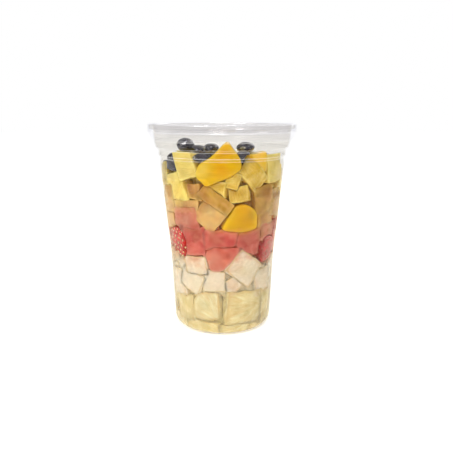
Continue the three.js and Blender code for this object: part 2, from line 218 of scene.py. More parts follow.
# ---------------------------------------------------------------- shapes as arrays
class Shape:
    """Points in millimetres, with quads and triangles that point to them."""

    def __init__(self, points, quads, triangles=()):
        self.points = np.asarray(points, float)
        self.quads = np.asarray(quads, int).reshape(-1, 4)
        self.triangles = np.asarray(triangles, int).reshape(-1, 3)
        self.turn_out()

    def faces(self, offset=0):
        """All faces as lists, for points that start at an offset."""
        return (self.quads + offset).tolist() + (self.triangles + offset).tolist()

    def volume(self):
        """The sum over all triangles of the box product of their corners, over six."""
        halves = [self.quads[:, [0, 1, 2]], self.quads[:, [0, 2, 3]], self.triangles]
        a, b, c = np.moveaxis(self.points[np.concatenate(halves)], 1, 0)
        return np.einsum("ij,ij->", a, np.cross(b, c)) / 6

    def turn_out(self):
        """Turns every face round if they point inwards, which makes the volume negative."""
        if self.volume() < 0:
            self.quads = self.quads[:, ::-1]
            self.triangles = self.triangles[:, ::-1]


@functools.cache
def cube_grid(steps):
    """The surface of a cube from -1 to 1 as six square grids that share their edges.

    Each row's places are the sine of even steps over a half turn, which sets them closer near the edges.
    """
    row = np.sin(np.linspace(-1, 1, steps + 1) * np.pi / 2)
    across, up = np.meshgrid(row, row, indexing="ij")
    start = np.arange(steps * (steps + 1)).reshape(steps, steps + 1)[:, :-1].ravel()
    quad = np.stack([start, start + steps + 1, start + steps + 2, start + 1], axis=1)
    points, quads = [], []
    for axis in range(3):
        for side in (1, -1):
            face = np.full((steps + 1, steps + 1, 3), float(side))
            face[..., (axis + 1) % 3] = across
            face[..., (axis + 2) % 3] = up
            quads.append(len(points) * across.size + (quad if side > 0 else quad[:, ::-1]))
            points.append(face.reshape(-1, 3))
    every = np.concatenate(points)
    _, first, shared = np.unique(every.round(6), axis=0, return_index=True, return_inverse=True)
    return every[first], shared.ravel()[np.concatenate(quads)]


def ring_faces(rings, around):
    """Faces of a stack of rings with a pole before the first and after the last ring."""
    ring, step = np.meshgrid(np.arange(rings - 1), np.arange(around), indexing="ij")
    here = 1 + ring * around + step
    beside = 1 + ring * around + (step + 1) % around
    quads = np.stack([here, here + around, beside + around, beside], axis=-1).reshape(-1, 4)
    first = 1 + np.arange(around)
    last = first + (rings - 1) * around
    start, end = np.zeros(around, int), np.full(around, rings * around + 1)
    triangles = [np.stack([start, first, np.roll(first, -1)], 1), np.stack([end, np.roll(last, -1), last], 1)]
    return quads, np.concatenate(triangles)


def revolved(profile, around):
    """Turns a line of (radius, height) points, which starts and ends on the axis, round the axis."""
    angle = np.linspace(0, 2 * np.pi, around, endpoint=False)
    radius, height = profile[1:-1].T
    circle = np.stack([np.cos(angle), np.sin(angle), np.ones(around)], axis=1)
    rings = (np.stack([radius, radius, height], axis=1)[:, None] * circle).reshape(-1, 3)
    first, last = [[0, 0, profile[0][1]]], [[0, 0, profile[-1][1]]]
    return Shape(np.concatenate([first, rings, last]), *ring_faces(len(radius), around))


SHARPEST_BEND = 8  # degrees by which a line may turn and stay as it is
MOST_CUT = 0.4  # share of its shorter side that a corner may take up
GUARD = 1.2  # how far out, in cuts, a point keeps the side next to a rounded corner flat


def softened(profile, cut):
    """Rounds the corners of a line of (radius, height) points.

    A corner that turns by more than a few degrees becomes a parabola that starts and ends one cut away
    from it along both sides, with one more point just outside each end to keep the sides flat.
    """
    profile = np.asarray(profile, float)
    before, corner, after = profile[:-2], profile[1:-1], profile[2:]
    back, ahead = before - corner, after - corner
    back_length = np.linalg.norm(back, axis=1, keepdims=True)
    ahead_length = np.linalg.norm(ahead, axis=1, keepdims=True)
    back, ahead = back / back_length, ahead / ahead_length
    reach = np.minimum(cut, MOST_CUT * np.minimum(back_length, ahead_length))
    share = np.array([0, 0.25, 0.5, 0.75, 1])[:, None, None]
    arc = corner + reach * ((1 - share) ** 2 * back + share**2 * ahead)
    guarded = np.concatenate([[corner + GUARD * reach * back], arc, [corner + GUARD * reach * ahead]])
    bent = np.sum(back * ahead, axis=1) > -math.cos(math.radians(SHARPEST_BEND))
    rows = [guarded[:, i] if bent[i] else corner[i : i + 1] for i in range(len(corner))]
    return np.concatenate([profile[:1], *rows, profile[-1:]])


# ---------------------------------------------------------------- pieces of fruit
CORNERS = np.array(
    [
        [1, 1, 1], [1, -1, 1], [1, 1, -1], [1, -1, -1],
        [-1, 1, -1], [-1, -1, -1], [-1, 1, 1], [-1, -1, 1],
    ]
)  # of a box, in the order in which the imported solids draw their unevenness
JITTER = 0.09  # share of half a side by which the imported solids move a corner
WIDE = 17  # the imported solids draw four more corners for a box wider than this
FIBRE_STEPS, FRONT_STEPS, ROW_STEPS, FILL_STEPS = 28, 16, 11, 7  # faces along each edge of a cube
BALL_STEPS, SEED_STEPS = 24, 2  # the same for a grape and for a strawberry's seed
MOST_ROUND = 0.6  # share of half its thinnest side to which a cube may be rounded
SWELL_SIZE, FIBRE_SIZE = 9, 2.6  # millimetres from wave to wave on a cube's faces
EDGE_FROM, EDGE_WIDE = 0.72, 0.26  # share of the way out over which a face becomes an edge
PRESS = 0.8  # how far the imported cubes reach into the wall
SETTLE = 0.002  # how much further in each piece stops than the one laid before it
GROOVE = 1.5  # how far later pieces stay back round a piece
TOUCH_FROM, TOUCH_WIDE = 1.06, 0.14  # outness at which they start to stay back, and how soon they do fully
HIDE = 6.0  # how far flesh moves in behind the middle of a piece that hides it
HIDE_FROM, HIDE_WIDE = 0.98, 0.24  # outness at which it starts to, and how soon it does fully
HIDE_REACH = 6.0  # depth behind the wall at which it no longer does
NEAR_WALL = 1  # how close to the wall a piece has to reach to count as pressed against it
LEAST_RADIUS = 0.5  # as near to the cup's axis as flesh may move
WAVE_RANGE = (0.7, 1.5)  # how many waves of unevenness there are where one is asked for
WAVE_SPREAD = 1.6


def seeded(seed):
    """The stream of random numbers from 0 to 1 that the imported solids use."""
    state = seed
    while True:
        state = (state * 1664525 + 1013904223) % 4294967296
        yield state / 4294967296


def draws(stream, count):
    """The next numbers of a stream, as an array."""
    return np.fromiter((next(stream) for _ in range(count)), float, count)


def turned_by(axis, degrees):
    """The matrix of a right-handed turn about one axis."""
    angle = math.radians(degrees)
    matrix = np.eye(3)
    one, two = (axis + 1) % 3, (axis + 2) % 3
    matrix[one, one] = matrix[two, two] = math.cos(angle)
    matrix[two, one] = math.sin(angle)
    matrix[one, two] = -math.sin(angle)
    return matrix


def waves(points, size, seed):
    """A soft uneven field, mostly from -1 to 1, of about one size.

    It is the mean of six sine waves in random directions, times a factor that spreads it.
    """
    random = np.random.default_rng(seed)
    direction = random.normal(size=(3, 6))
    direction *= 2 * np.pi / size / np.linalg.norm(direction, axis=0) * random.uniform(*WAVE_RANGE, 6)
    return np.sin(points @ direction + random.uniform(0, 2 * np.pi, 6)).mean(axis=1) * WAVE_SPREAD


class Piece:
    """One piece of fruit: its shape in its own frame, where it lies, and its tone.

    It lies at a turn round the cup, a height and a radius, rolled about the line out of the cup, leaning
    and spun. outness tells how far out points of its own frame lie: under 1 inside it and over 1 outside.
    edge is 1 at points on its cut edges and 0 on its faces, grain is where they are in its flesh, and dent
    how far each is pushed in. groove is how far later pieces stay back round it, or 0 where they do not. A
    loose piece gives way to none, and a pressed one reaches the wall.
    """

    def __init__(
        self, shape, outness, tone, turn, height, radius, roll=0, lean=0, spin=0, edge=None, grain=None,
        groove=GROOVE, dent=0, loose=False,
    ):
        self.shape = shape
        self.outness = outness
        self.tone = tone
        self.groove = groove
        self.dent = dent
        self.loose = loose
        self.grain = shape.points if grain is None else grain
        self.edge = np.zeros(len(shape.points)) if edge is None else edge
        own = turned_by(2, roll) @ turned_by(0, lean) @ turned_by(1, spin)
        about = turned_by(2, turn)
        self.axes = about @ turned_by(0, 90) @ own
        self.centre = about @ np.array([0, -radius, height])
        self.points = shape.points @ self.axes.T + self.centre
        self.reach = np.linalg.norm(shape.points, axis=1).max()
        self.pressed = radius + shape.points[:, 2].max() > inside_radius(height) - NEAR_WALL


def smooth_step(value):
    """Rises from 0 to 1 with flat ends: three times the square less twice the cube."""
    value = np.clip(value, 0, 1)
    return value * value * (3 - 2 * value)


def settle(pieces, contact):
    """Presses every piece against the wall and lets it give way to those laid before it.

    A point's distance from the axis is held to the cup's inside radius, a little less for each later
    piece. Where a point is dented, or lies inside an earlier piece or only just outside it, it moves in:
    by a groove at that piece's edge, and much further behind the middle of its face. What lies between a
    pressed piece's face and the wall counts as behind its face.
    """
    for order, piece in enumerate(pieces):
        points = piece.points
        points[:, 2] = np.maximum(points[:, 2], FLOOR + NEAR_FLOOR)
        out = np.hypot(points[:, 0], points[:, 1])
        inside = inside_radius(points[:, 2])
        held = np.minimum(out, inside + contact - SETTLE * order)
        by_wall = smooth_step(1 - (inside - out) / HIDE_REACH)
        give = np.full(len(points), piece.dent)
        for other in [] if piece.loose else pieces[:order]:
            if other.groove and np.linalg.norm(other.centre - piece.centre) < other.reach + piece.reach:
                local = (points - other.centre) @ other.axes
                if other.pressed:
                    local[:, 2] = np.minimum(local[:, 2], 0)
                outness = other.outness(local)
                near = smooth_step((TOUCH_FROM - outness) / TOUCH_WIDE)
                hidden = smooth_step((HIDE_FROM - outness) / HIDE_WIDE) * by_wall
                give = np.maximum(give, other.groove * near + HIDE * hidden)
        held = np.maximum(held - give, LEAST_RADIUS)
        points[:, :2] *= (held / np.maximum(out, 1e-6))[:, None]


def rounded_box(grid, half, radius):
    """A box with round edges and corners.

    Each point is the nearest one of a box that is smaller by the radius, plus the radius away from it.
    """
    full = grid * half
    inner = np.clip(full, radius - half, half - radius)
    away = full - inner
    return inner + radius * away / np.linalg.norm(away, axis=1, keepdims=True)


def fanned(points, away, bearing):
    """Places in flesh whose fibres run out from a core that lies to one side of the piece.

    They are the distance from the core, the length of arc round it and the place along it.
    """
    angle = math.radians(bearing)
    out = np.array([math.cos(angle), math.sin(angle)])
    offset = points[:, :2] + away * out
    along, across = offset @ out, offset @ np.array([-out[1], out[0]])
    arc = np.arctan2(across, along) * away
    return np.stack([np.hypot(along, across), arc, points[:, 2]], axis=1)


def box_outness(half):
    """For a box: the largest of a point's three distances, each as a share of half that side."""
    return lambda local: np.abs(local / half).max(axis=1)


def rounded_outness(half, radius):
    """For a box with round edges: its distance field, the box's own inside and round its corners outside."""

    def outness(local):
        over = np.abs(local) - (half - radius)
        distance = np.linalg.norm(np.maximum(over, 0), axis=1) + np.minimum(over.max(axis=1), 0) - radius
        return 1 + distance / half.min()

    return outness


def cut_cube(width, tall, deep, stream, style, tone, seed, steps, top=(0, 0), **place):
    """A knife-cut cube: a rounded box whose eight corners are moved, with all between them in proportion.

    The weights of the corners at a point are the products of its shares along the three edges. The top
    drops, and slopes, by the two values of top. Each face then swells or sinks with the waves of a slow
    field and, across the fibres, of a quick one.
    """
    half = np.array([width, tall, deep]) / 2
    uneven = draws(stream, 36 if width > WIDE else 24).reshape(-1, 3)[:8]
    corners = CORNERS * half * (1 + (uneven - 0.5) * 2 * JITTER)
    corners += np.random.default_rng(seed).uniform(-UNEVEN, UNEVEN, (8, 3))
    grid, quads = cube_grid(steps)
    rounding = ROUNDING.get(tone, style["rounding"])
    box = rounded_box(grid, half, min(rounding, half.min() * MOST_ROUND))
    share = (1 + box / half) / 2
    weights = np.prod(np.where(CORNERS[:, None] > 0, share, 1 - share), axis=2)
    points = weights.T @ corners
    points[:, 1] -= smooth_step(share[:, 1]) * (top[0] + top[1] * points[:, 0])
    points[:, :2] *= 1 + style["spread"] * smooth_step(share[:, 2:])
    place_in_field = points + 50 * place["turn"] + seed
    relief = style["swell"] * waves(place_in_field, SWELL_SIZE, seed)
    relief += style["fibre"] * waves(place_in_field * style["along"], FIBRE_SIZE, seed + 1)
    points += relief[:, None] * (box / half)
    across = np.sort(np.abs(grid), axis=1)[:, 1]
    place["edge"] = smooth_step((across - EDGE_FROM) / EDGE_WIDE)
    place.setdefault("groove", style["groove"])
    if "fan" in style:
        bearing = 0 if width > 2 * tall else np.random.default_rng(seed).uniform(0, 360)
        place["grain"] = fanned(points, style["fan"], bearing)
    within = rounded_outness(half, rounding) if tone in ROUNDING else box_outness(half)
    return Piece(Shape(points, quads), within, tone, **place)


def outline_radius(outline, angle):
    """Distance from the origin to a closed outline at each angle, by the crossing of ray and side."""
    outline = np.asarray(outline, float)
    bearing = np.arctan2(outline[:, 1], outline[:, 0]) % (2 * np.pi)
    outline = outline[np.argsort(bearing)]
    bearing = np.sort(bearing)
    side = np.searchsorted(bearing, angle % (2 * np.pi)) % len(outline)
    start, end = outline[side - 1], outline[side]
    step = end - start
    crossing = start[:, 0] * end[:, 1] - start[:, 1] * end[:, 0]
    return crossing / (np.cos(angle) * step[:, 1] - np.sin(angle) * step[:, 0])


SLICE_AROUND, SLICE_FACE, SLICE_EDGE = 128, 9, 6  # faces round it, out across it and over its edge
BLUNT = 4  # steps to each side over which its corners are averaged
OUTLINE_WAVES = 0.02  # share by which its outline is uneven
FACE_WAVES = 0.35  # millimetres by which its faces are
RIM_FROM = 0.86  # share of the way out from which a slice's face becomes its edge


def slice_shape(outline, deep, rounding, seed):
    """A slice of flesh: an outline carried from its front face round the edge to its back face.

    At each step the outline is drawn in by the rounding, scaled by a share and moved out again by the
    sine of the edge's angle, at the height that its cosine gives. The outline's corners are averaged over
    a few degrees.
    """
    angle = np.linspace(0, 2 * np.pi, SLICE_AROUND, endpoint=False)
    radius = outline_radius(outline, angle)
    window = np.hanning(2 * BLUNT + 1) / np.hanning(2 * BLUNT + 1).sum()
    radius = np.convolve(np.concatenate([radius[-BLUNT:], radius, radius[:BLUNT]]), window, "valid")
    shares = np.sin(np.linspace(0, 1, SLICE_FACE + 1)[1:] * np.pi / 2)
    bend = np.linspace(0, np.pi / 2, SLICE_EDGE + 1)[1:]
    share = np.concatenate([shares, np.ones(SLICE_EDGE)])
    out = np.concatenate([np.zeros(SLICE_FACE), np.sin(bend)])
    height = np.concatenate([np.full(SLICE_FACE, deep / 2), deep / 2 - rounding * (1 - np.cos(bend))])
    share, out = np.concatenate([share, share[::-1]]), np.concatenate([out, out[::-1]])
    height = np.concatenate([height, -height[::-1]])
    distance = np.outer(share, radius - rounding) + rounding * out[:, None]
    height = np.outer(height, np.ones(SLICE_AROUND))
    rings = np.stack([distance * np.cos(angle), distance * np.sin(angle), height], axis=-1).reshape(-1, 3)
    points = np.concatenate([[[0, 0, deep / 2]], rings, [[0, 0, -deep / 2]]])
    points[:, :2] *= 1 + OUTLINE_WAVES * waves(points, 11, seed)[:, None]
    points[:, 2] += FACE_WAVES * waves(points, 9, seed + 1)

    def outness(local):
        bearing = np.arctan2(local[:, 1], local[:, 0])
        across = np.hypot(local[:, 0], local[:, 1]) / outline_radius(outline, bearing)
        return np.maximum(across, np.abs(local[:, 2]) * 2 / deep)

    rim = np.repeat(smooth_step((share - RIM_FROM) / (1 - RIM_FROM)), SLICE_AROUND)
    rim = np.concatenate([[0], rim, [0]])
    return Shape(points, *ring_faces(len(share), SLICE_AROUND)), outness, rim


# Radius and place along its axis of a strawberry's outline from tip to top, as shares of its size.
STRAWBERRY_LINE = np.array([[0, -0.5], [0.16, -0.42], [0.34, -0.16], [0.48, 0.16], [0.42, 0.38], [0, 0.48]])
BERRY_AROUND, BERRY_RINGS = 72, 56  # faces round it and rings from tip to top
SEEDS = 74
SEEDS_FROM, SEEDS_SPAN = 0.1, 0.78  # the shares of the outline where seeds start, and over which they go on
SEED_HALF = np.array([0.55, 0.9, 0.4])
SEED_SUNK = 0.18  # how deep a seed's middle sits below the skin
SEED_TURN = 137.508  # degrees from one seed to the next
DIMPLE_DEEP, DIMPLE_WIDE = 0.65, 1.2  # where each seed sits


def ellipsoid_outness(half):
    """For an ellipsoid: a point's distance from its middle, each part as a share of half that axis."""
    return lambda local: np.linalg.norm(local / half, axis=1)


def strawberry_shape(size):
    """A strawberry, the places of its seeds, its middle and how deep each point is dimpled.

    The body is a smooth line turned round its long axis. Seeds lie along a spiral whose turn from one to
    the next is the golden angle, each in a dimple that falls off as a bell curve.
    """
    profile = catmull_rom(STRAWBERRY_LINE, np.linspace(0, 1, BERRY_RINGS + 2))
    profile[:, 0] = np.maximum(profile[:, 0], 0)
    body = revolved(profile, BERRY_AROUND)
    body = Shape(body.points[:, [0, 2, 1]] * size * [1, 1, -1], body.quads, body.triangles)
    step = np.arange(SEEDS)
    along = SEEDS_FROM + SEEDS_SPAN * (step + 0.5) / SEEDS
    line = catmull_rom(STRAWBERRY_LINE, along)
    turn = np.radians(SEED_TURN) * step
    seats = np.stack([line[:, 0] * np.cos(turn), line[:, 1], -line[:, 0] * np.sin(turn)], axis=1) * size
    apart = np.linalg.norm(body.points[:, None] - seats[None], axis=2)
    dimple = DIMPLE_DEEP * np.exp(-((apart / DIMPLE_WIDE) ** 2)).max(axis=1)
    middle = np.array([0, body.points[:, 1].mean(), 0])
    inward = middle - body.points
    inward /= np.linalg.norm(inward, axis=1, keepdims=True)
    body.points += inward * dimple[:, None]
    return body, seats, middle, dimple


def seed_shapes(seats, middle):
    """One small ellipsoid in each dimple, its long side towards the berry's tip and its thin side out."""
    grid, quads = cube_grid(SEED_STEPS)
    ball = grid / np.linalg.norm(grid, axis=1, keepdims=True) * SEED_HALF
    out = seats - middle
    out /= np.linalg.norm(out, axis=1, keepdims=True)
    down = np.array([0, -1, 0]) + out * out[:, 1:2]
    down /= np.linalg.norm(down, axis=1, keepdims=True)
    side = np.cross(down, out)
    frames = np.stack([side, down, out], axis=1)
    points = np.einsum("gi,sij->sgj", ball, frames) + (seats - out * SEED_SUNK)[:, None]
    faces = quads[None] + (np.arange(len(seats)) * len(grid))[:, None, None]
    return Shape(points.reshape(-1, 3), faces.reshape(-1, 4))


GRAPE_CUT = 0.32  # of the half depth, where the knife went through
GRAPE_SCAR = np.array([-0.8, 0.15, 0.58])  # the direction of its stem
# Where the ring round the stem's place and the hollow in it end, out from its middle, and how softly.
RING_OUT, RING_SOFT = 0.34, 0.1
HOLLOW_OUT, HOLLOW_SOFT = 0.22, 0.08
WRINKLES, RING_RAISED = 0.025, 0.03  # as shares of the grape's size


def grape_shape(size, seed):
    """Half a grape: a ball with a flat cut on its inner side, stretched to size and slightly wrinkled.

    The second result marks where it was on its stem: 1 on a raised ring and a half inside the ring.
    """
    grid, quads = cube_grid(BALL_STEPS)
    ball = grid / np.linalg.norm(grid, axis=1, keepdims=True)
    ball[:, 2] = np.maximum(ball[:, 2], -GRAPE_CUT)
    away = np.linalg.norm(ball - GRAPE_SCAR, axis=1)
    scar = smooth_step((RING_OUT - away) / RING_SOFT)
    scar -= 0.5 * smooth_step((HOLLOW_OUT - away) / HOLLOW_SOFT)
    ball *= size * [1, 1, 2 / (1 + GRAPE_CUT)] / 2
    ball *= 1 + WRINKLES * waves(ball, 3.5, seed)[:, None] + RING_RAISED * scar[:, None]
    return Shape(ball, quads), scar


def plug_shape(low, high, seed):
    """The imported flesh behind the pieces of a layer: a round plug with a lumpy side and lumpy ends.

    The line of its profile runs out along the top, down the side and in along the bottom.
    """
    side = np.linspace(high, low, 12)
    top = np.linspace(0, 1, 9)[:-1]
    radii = np.concatenate([top, np.ones(len(side)), top[::-1]])
    heights = np.concatenate([np.full(len(top), high), side, np.full(len(top), low)])
    profile = np.stack([radii * (inside_radius(heights) - PLUG_DEPTH), heights], axis=1)
    shape = revolved(profile, PLUG_AROUND)
    shape.points[:, :2] *= 1 + SIDE_LUMPS * waves(shape.points, 10, seed)[:, None]
    shape.points[:, 2] += END_LUMPS * waves(shape.points, 12, seed + 1)
    return shape


# ---------------------------------------------------------------- what lies where
LAYER_HEIGHTS = [2.2, 28, 55, 77, 97, 109]  # where one layer ends and the next begins
PLUG_AROUND = 96  # faces round a core
PLUG_DEPTH = 6.5  # how far behind the wall a layer's core stays
PLUG_GAP = 0.3  # between one layer's core and the next
SIDE_LUMPS = 0.04  # share by which a core's side is uneven
END_LUMPS = 0.84  # millimetres by which its ends are

# Outlines of slices, seen from outside the cup: of a mango's side, its cheek and a round of pineapple.
MANGO_OUTLINE = [
    [5, 15.5], [-3, 7.5], [-12, 1.5], [-15, -5.5], [-8, -12.5], [7, -6.5], [13.7, -1.5], [13.7, 3.5],
]
CHEEK_OUTLINE = [
    [-12, -6.6], [-3.8, 8.2], [0.2, 9.7], [4.2, 9.2], [9, 6], [12, 1.8], [12.6, -6.6], [6, -8], [0, -8.4],
]
ROUND_OUTLINE = [
    [-9.4, -9], [-10, -3], [-8.8, 3], [-5.6, 7.6], [-0.5, 9.9], [8.8, 9.7], [9.8, 1], [9.5, -8.8], [1, -10],
]
ROUND_BEARING = 135  # the direction from the round slice's core to its rind
SLICE_ROUNDING = 1.6
# Each mango slice: outline, depth and place.
MANGOES = {
    "mango_slice_top": (MANGO_OUTLINE, 10, dict(turn=-3, height=113.5, radius=35.5)),
    "mango_slice_middle": (CHEEK_OUTLINE, 12, dict(turn=17, height=80.5, radius=33.5)),
    "mango_slice_back": (MANGO_OUTLINE, 11, dict(turn=176, height=100, radius=36, roll=24, groove=4)),
    "mango_slice_side": (CHEEK_OUTLINE, 12, dict(turn=-118, height=104, radius=34.5, roll=30, groove=4)),
}
# Each strawberry: tone, its seeds' tone, size and place.
STRAWBERRIES = {
    "strawberry_left": (
        "strawberry", "seed", (16, 23, 13), dict(turn=-52, height=62.5, radius=32, roll=14)
    ),
    "strawberry_right": (
        "crimson", "dark_seed", (20, 21, 15), dict(turn=56, height=56.5, radius=30.5, roll=-28)
    ),
    "strawberry_back": (
        "strawberry", "seed", (19, 24, 15), dict(turn=158, height=63, radius=32.5, roll=40)
    ),
}
BERRY_PRESS = 1.7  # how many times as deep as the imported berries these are, before the wall flattens them
PEACH_SIZE = (12, 11, 12)
PEACH_PLACE = dict(turn=34, height=115.8, radius=35, roll=4)

GRAPE_SWELL = 1.08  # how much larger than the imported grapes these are, so that they touch
# Dark grape halves: turn, height, radius, length, tall, deep, roll, spin.
GRAPES = [
    [-43.5, 125.7, 33, 9.8, 7.6, 9, -22, 20],
    [-29, 122.8, 29.7, 9, 5, 9, -14, -10],
    [-14.3, 123.6, 27.9, 9.2, 6.2, 9, 4, 10],
    [28.8, 124.2, 29.7, 10, 6, 9, 8, 0],
    [20, 117.6, 37.5, 9.5, 10, 8, 10, 0],
    [-57, 112.6, 37.5, 19, 5.2, 8, -9, 0],
    [-17.5, 118.8, 37.3, 13, 5, 7, 3, 0],
    [-98, 114.6, 31, 12, 8, 9, 15, 30],
    [112, 114.4, 28, 13, 8, 9, -18, 20],
    [-142, 113.6, 27, 12, 8, 9, 12, -20],
    [148, 113, 31, 13, 8, 9, -8, 10],
]

# Layers from the floor up. Cubes at the wall: turn, height, width, tall, deep, roll and tone. Extra ones
# in the same form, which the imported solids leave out. Rows that a rule fills: height and size.
LAYERS = {
    "bottom_pineapple": {
        "cubes": [
            [-19, 21.3, 20, 20, 16, 0, "cream_pineapple"],
            [27, 19, 25, 21, 16, -4, "straw"],
            [-46.5, 17, 15, 17, 14, 6, "straw"],
            [58, 16, 15, 21, 14, 5, "straw"],
            [14, 5.5, 20, 6, 13, 4, "straw"],
            [-24, 6, 20, 8, 13, -6, "straw"],
        ],
        "extra": [
            [-62, 6.5, 16, 9, 13, 5, "cream_pineapple"],
            [48, 6.5, 15, 9, 13, -5, "straw"],
            *[[turn, 6, 17, 9, 13, 6, "straw"] for turn in range(82, 280, 27)],
        ],
        "rows": [[15.5, 22]],
        "tones": ["straw", "cream_pineapple"],
    },
    "white_melon": {
        "cubes": [
            [24.5, 46.7, 20, 17, 14, -36, "cream"],
            [-29, 49.5, 16, 12, 14, 5, "blush"],
            [-35, 37.5, 17, 14, 14, -24, "milk"],
            [-57, 34, 14, 17, 14, 8, "cream"],
            [-8.5, 39, 14, 13, 14, 0, "cream"],
            [12, 35, 10, 9, 14, 36, "blush"],
            [50, 35.5, 15, 16, 14, 6, "cream"],
            [68, 42, 12, 16, 14, -6, "cream"],
        ],
        "rows": [[34.5, 16], [47.5, 15]],
        "tones": ["cream", "blush"],
    },
    "red_melon": {
        "cubes": [
            [-30.5, 64, 15.5, 20, 14, 0, "rose"],
            [2, 54.5, 21, 16, 14, 4, "salmon"],
            [-4, 67, 22, 13, 14, 0, "rose"],
            [26, 65, 15, 15, 14, -8, "dusky"],
            [-38, 80, 18, 14, 14, 10, "rosy"],
            [50, 70, 12, 10, 14, 0, "rosy"],
        ],
        "rows": [[60.5, 17], [73, 16]],
        "tones": ["rose", "salmon", "dusky"],
    },
    "golden_peach": {
        "cubes": [
            [-6.5, 92, 23, 8, 14, -36, "gold"],
            [-12, 81.5, 15, 14, 13, -36, "sand"],
            [44, 92, 15, 16, 14, 10, "tan"],
            [63, 88, 13, 17, 14, -6, "tan"],
            [46, 76, 13, 15, 14, 6, "tan"],
            [-62, 90, 12, 17, 14, 5, "sand"],
            [-25, 97, 9, 9, 14, 0, "tan"],
        ],
        "extra": [[-66, 77.5, 13, 13, 13, 6, "sand"], [-40, 88, 22, 7, 13, 2, "sand"]],
        "rows": [[87, 17]],
        "tones": ["gold", "tan", "sand"],
    },
    "yellow_pineapple": {
        "cubes": [
            [-34, 114, 14, 17, 15, 20, "yellow"],
            [-44.5, 99.5, 15.5, 18, 15, 20, "yellow"],
            [-1, 98.5, 9.5, 8.5, 13, -12, "honey"],
            [12.5, 104, 8, 10.5, 13, -20, "honey"],
            [18.5, 95.5, 12.5, 9, 13, 8, "honey"],
            [30.5, 106, 17, 13, 14, -48, "honey"],
            [55, 110, 16, 18, 14, 0, "yellow"],
            [-68, 106, 11, 15, 14, 8, "olive"],
            [72, 102, 12, 14, 14, -10, "honey"],
        ],
        "rows": [[102, 16]],
        "tones": ["yellow", "honey"],
    },
}
# How each layer's pieces are cut: the rounding of their edges, the swell of their faces, the depth and
# direction of their fibres, the groove round each of them and how far behind the wall the pieces lie that
# show between them, all in millimetres, the share by which they spread at the wall, how far they tilt, in
# degrees, and for fibres that fan out, how far off their core is.
UPRIGHT, LEVEL = (1, 0.12, 0.6), (0.12, 1, 0.6)
STYLES = {
    "bottom_pineapple": dict(
        rounding=0.6, swell=0.6, fibre=0.32, along=LEVEL, groove=0.1, behind=0.3, spread=0.09, tilt=3,
        fan=15,
    ),
    "white_melon": dict(
        rounding=0.4, swell=0.4, fibre=0, along=UPRIGHT, groove=0.07, behind=0.4, spread=0.09, tilt=4
    ),
    "red_melon": dict(
        rounding=0.5, swell=0.9, fibre=0, along=UPRIGHT, groove=0.06, behind=0.8, spread=0.1, tilt=3
    ),
    "golden_peach": dict(
        rounding=0.6, swell=0.4, fibre=0.05, along=UPRIGHT, groove=0.8, behind=2.2, spread=0.05, tilt=8
    ),
    "yellow_pineapple": dict(
        rounding=0.6, swell=0.3, fibre=0.08, along=UPRIGHT, groove=1.8, behind=3.2, spread=0.02, tilt=9,
        fan=18,
    ),
}
ROUNDING = {"cream_pineapple": 3.0, "salmon": 2.4}  # tones whose pieces are rounder than their layer's
UNEVEN = 0.9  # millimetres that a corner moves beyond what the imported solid's does
TILT_SHARES = (-1.3, 0.7)  # of its layer's tilt, between which a cube leans and spins
# What sets single cubes whose places are listed apart from their layer's, by their number in it: how far
# they lean and spin, in degrees, the groove round them, and how far their top drops and slopes.
SINGLE = {
    "bottom_pineapple": {},
    "white_melon": {
        0: dict(tilts=(0, 0), groove=0.6),
        2: dict(tilts=(-2, -5), groove=0.5),
        4: dict(tilts=(-2, 0)),
    },
    "red_melon": {1: dict(tilts=(0, -2), groove=0.15)},
    "golden_peach": {0: dict(tilts=(-12, -4)), 1: dict(tilts=(-6, -10))},
    "yellow_pineapple": {
        0: dict(tilts=(-5, -9), top=(1.8, 0.3)),
        1: dict(tilts=(-3, -12)),
        2: dict(tilts=(-14, -24)),
        3: dict(tilts=(-4, -24)),
        4: dict(tilts=(-14, -22)),
        5: dict(tilts=(-6, -30)),
        6: dict(tilts=(0, 8)),
    },
}

# Rows of cubes that a rule fills, from one turn to another.
FREE_FROM, FREE_TO = 76, 286
RULE_DEEP = 13
RULE_WIDE, RULE_TALL = (0.78, 0.24), (0.72, 0.2)  # the least share of the row's size, and how much more
RULE_SHIFT = 0.2  # of the step between two of them
RULE_ROLL = 24
RULE_RISE = 3
MORE_ROLL = 14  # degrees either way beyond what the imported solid's cubes are turned

# Cubes on top of the heap: under the grapes (turn, height and radius), in a spiral, and loose ones.
TOP_SUPPORTS = [[-42, 115.5, 28], [-14, 113.5, 25], [27, 114.5, 27]]
SUPPORT_SIZE = 12.5
GOLDEN_ANGLE = 137.5
TOP_CUBES, TOP_SPREAD = 6, 7.4
TOP_SIZE = (11, 4)  # the least, and how much more
TOP_HEIGHT = 107.4
TOP_FALL = 0.12  # how much lower the spiral lies for each millimetre towards the back
TOP_RISE, TOP_ROLL = 3, 40  # the most that chance adds
LOOSE_CUBES, LOOSE_SPREAD = 22, 6.3
LOOSE_SIZES = (9, 12.5)
LOOSE_TOP = 112.5
LOOSE_RISE, LOOSE_TILT = 1.5, 22  # the most either way
LOOSE_TONES = ["yellow", "honey", "yellow", "sand", "honey"]

# Pieces that show in the gaps, in rows round the cup.
FILL_STEP = 10.5  # between rows
FILL_TURN = 24  # degrees between pieces
FILL_SIZES = (10, 13.5)
FILL_BACK = 2  # the most that they lie further behind the wall
FILL_RISE, FILL_SHIFT, FILL_ROLL = 2, 4, 35  # the most either way


def wall_radius(height, deep):
    """How far from the axis the middle of a piece at the wall lies."""
    return float(inside_radius(height, FLAT_WALL)) - deep / 2 + PRESS


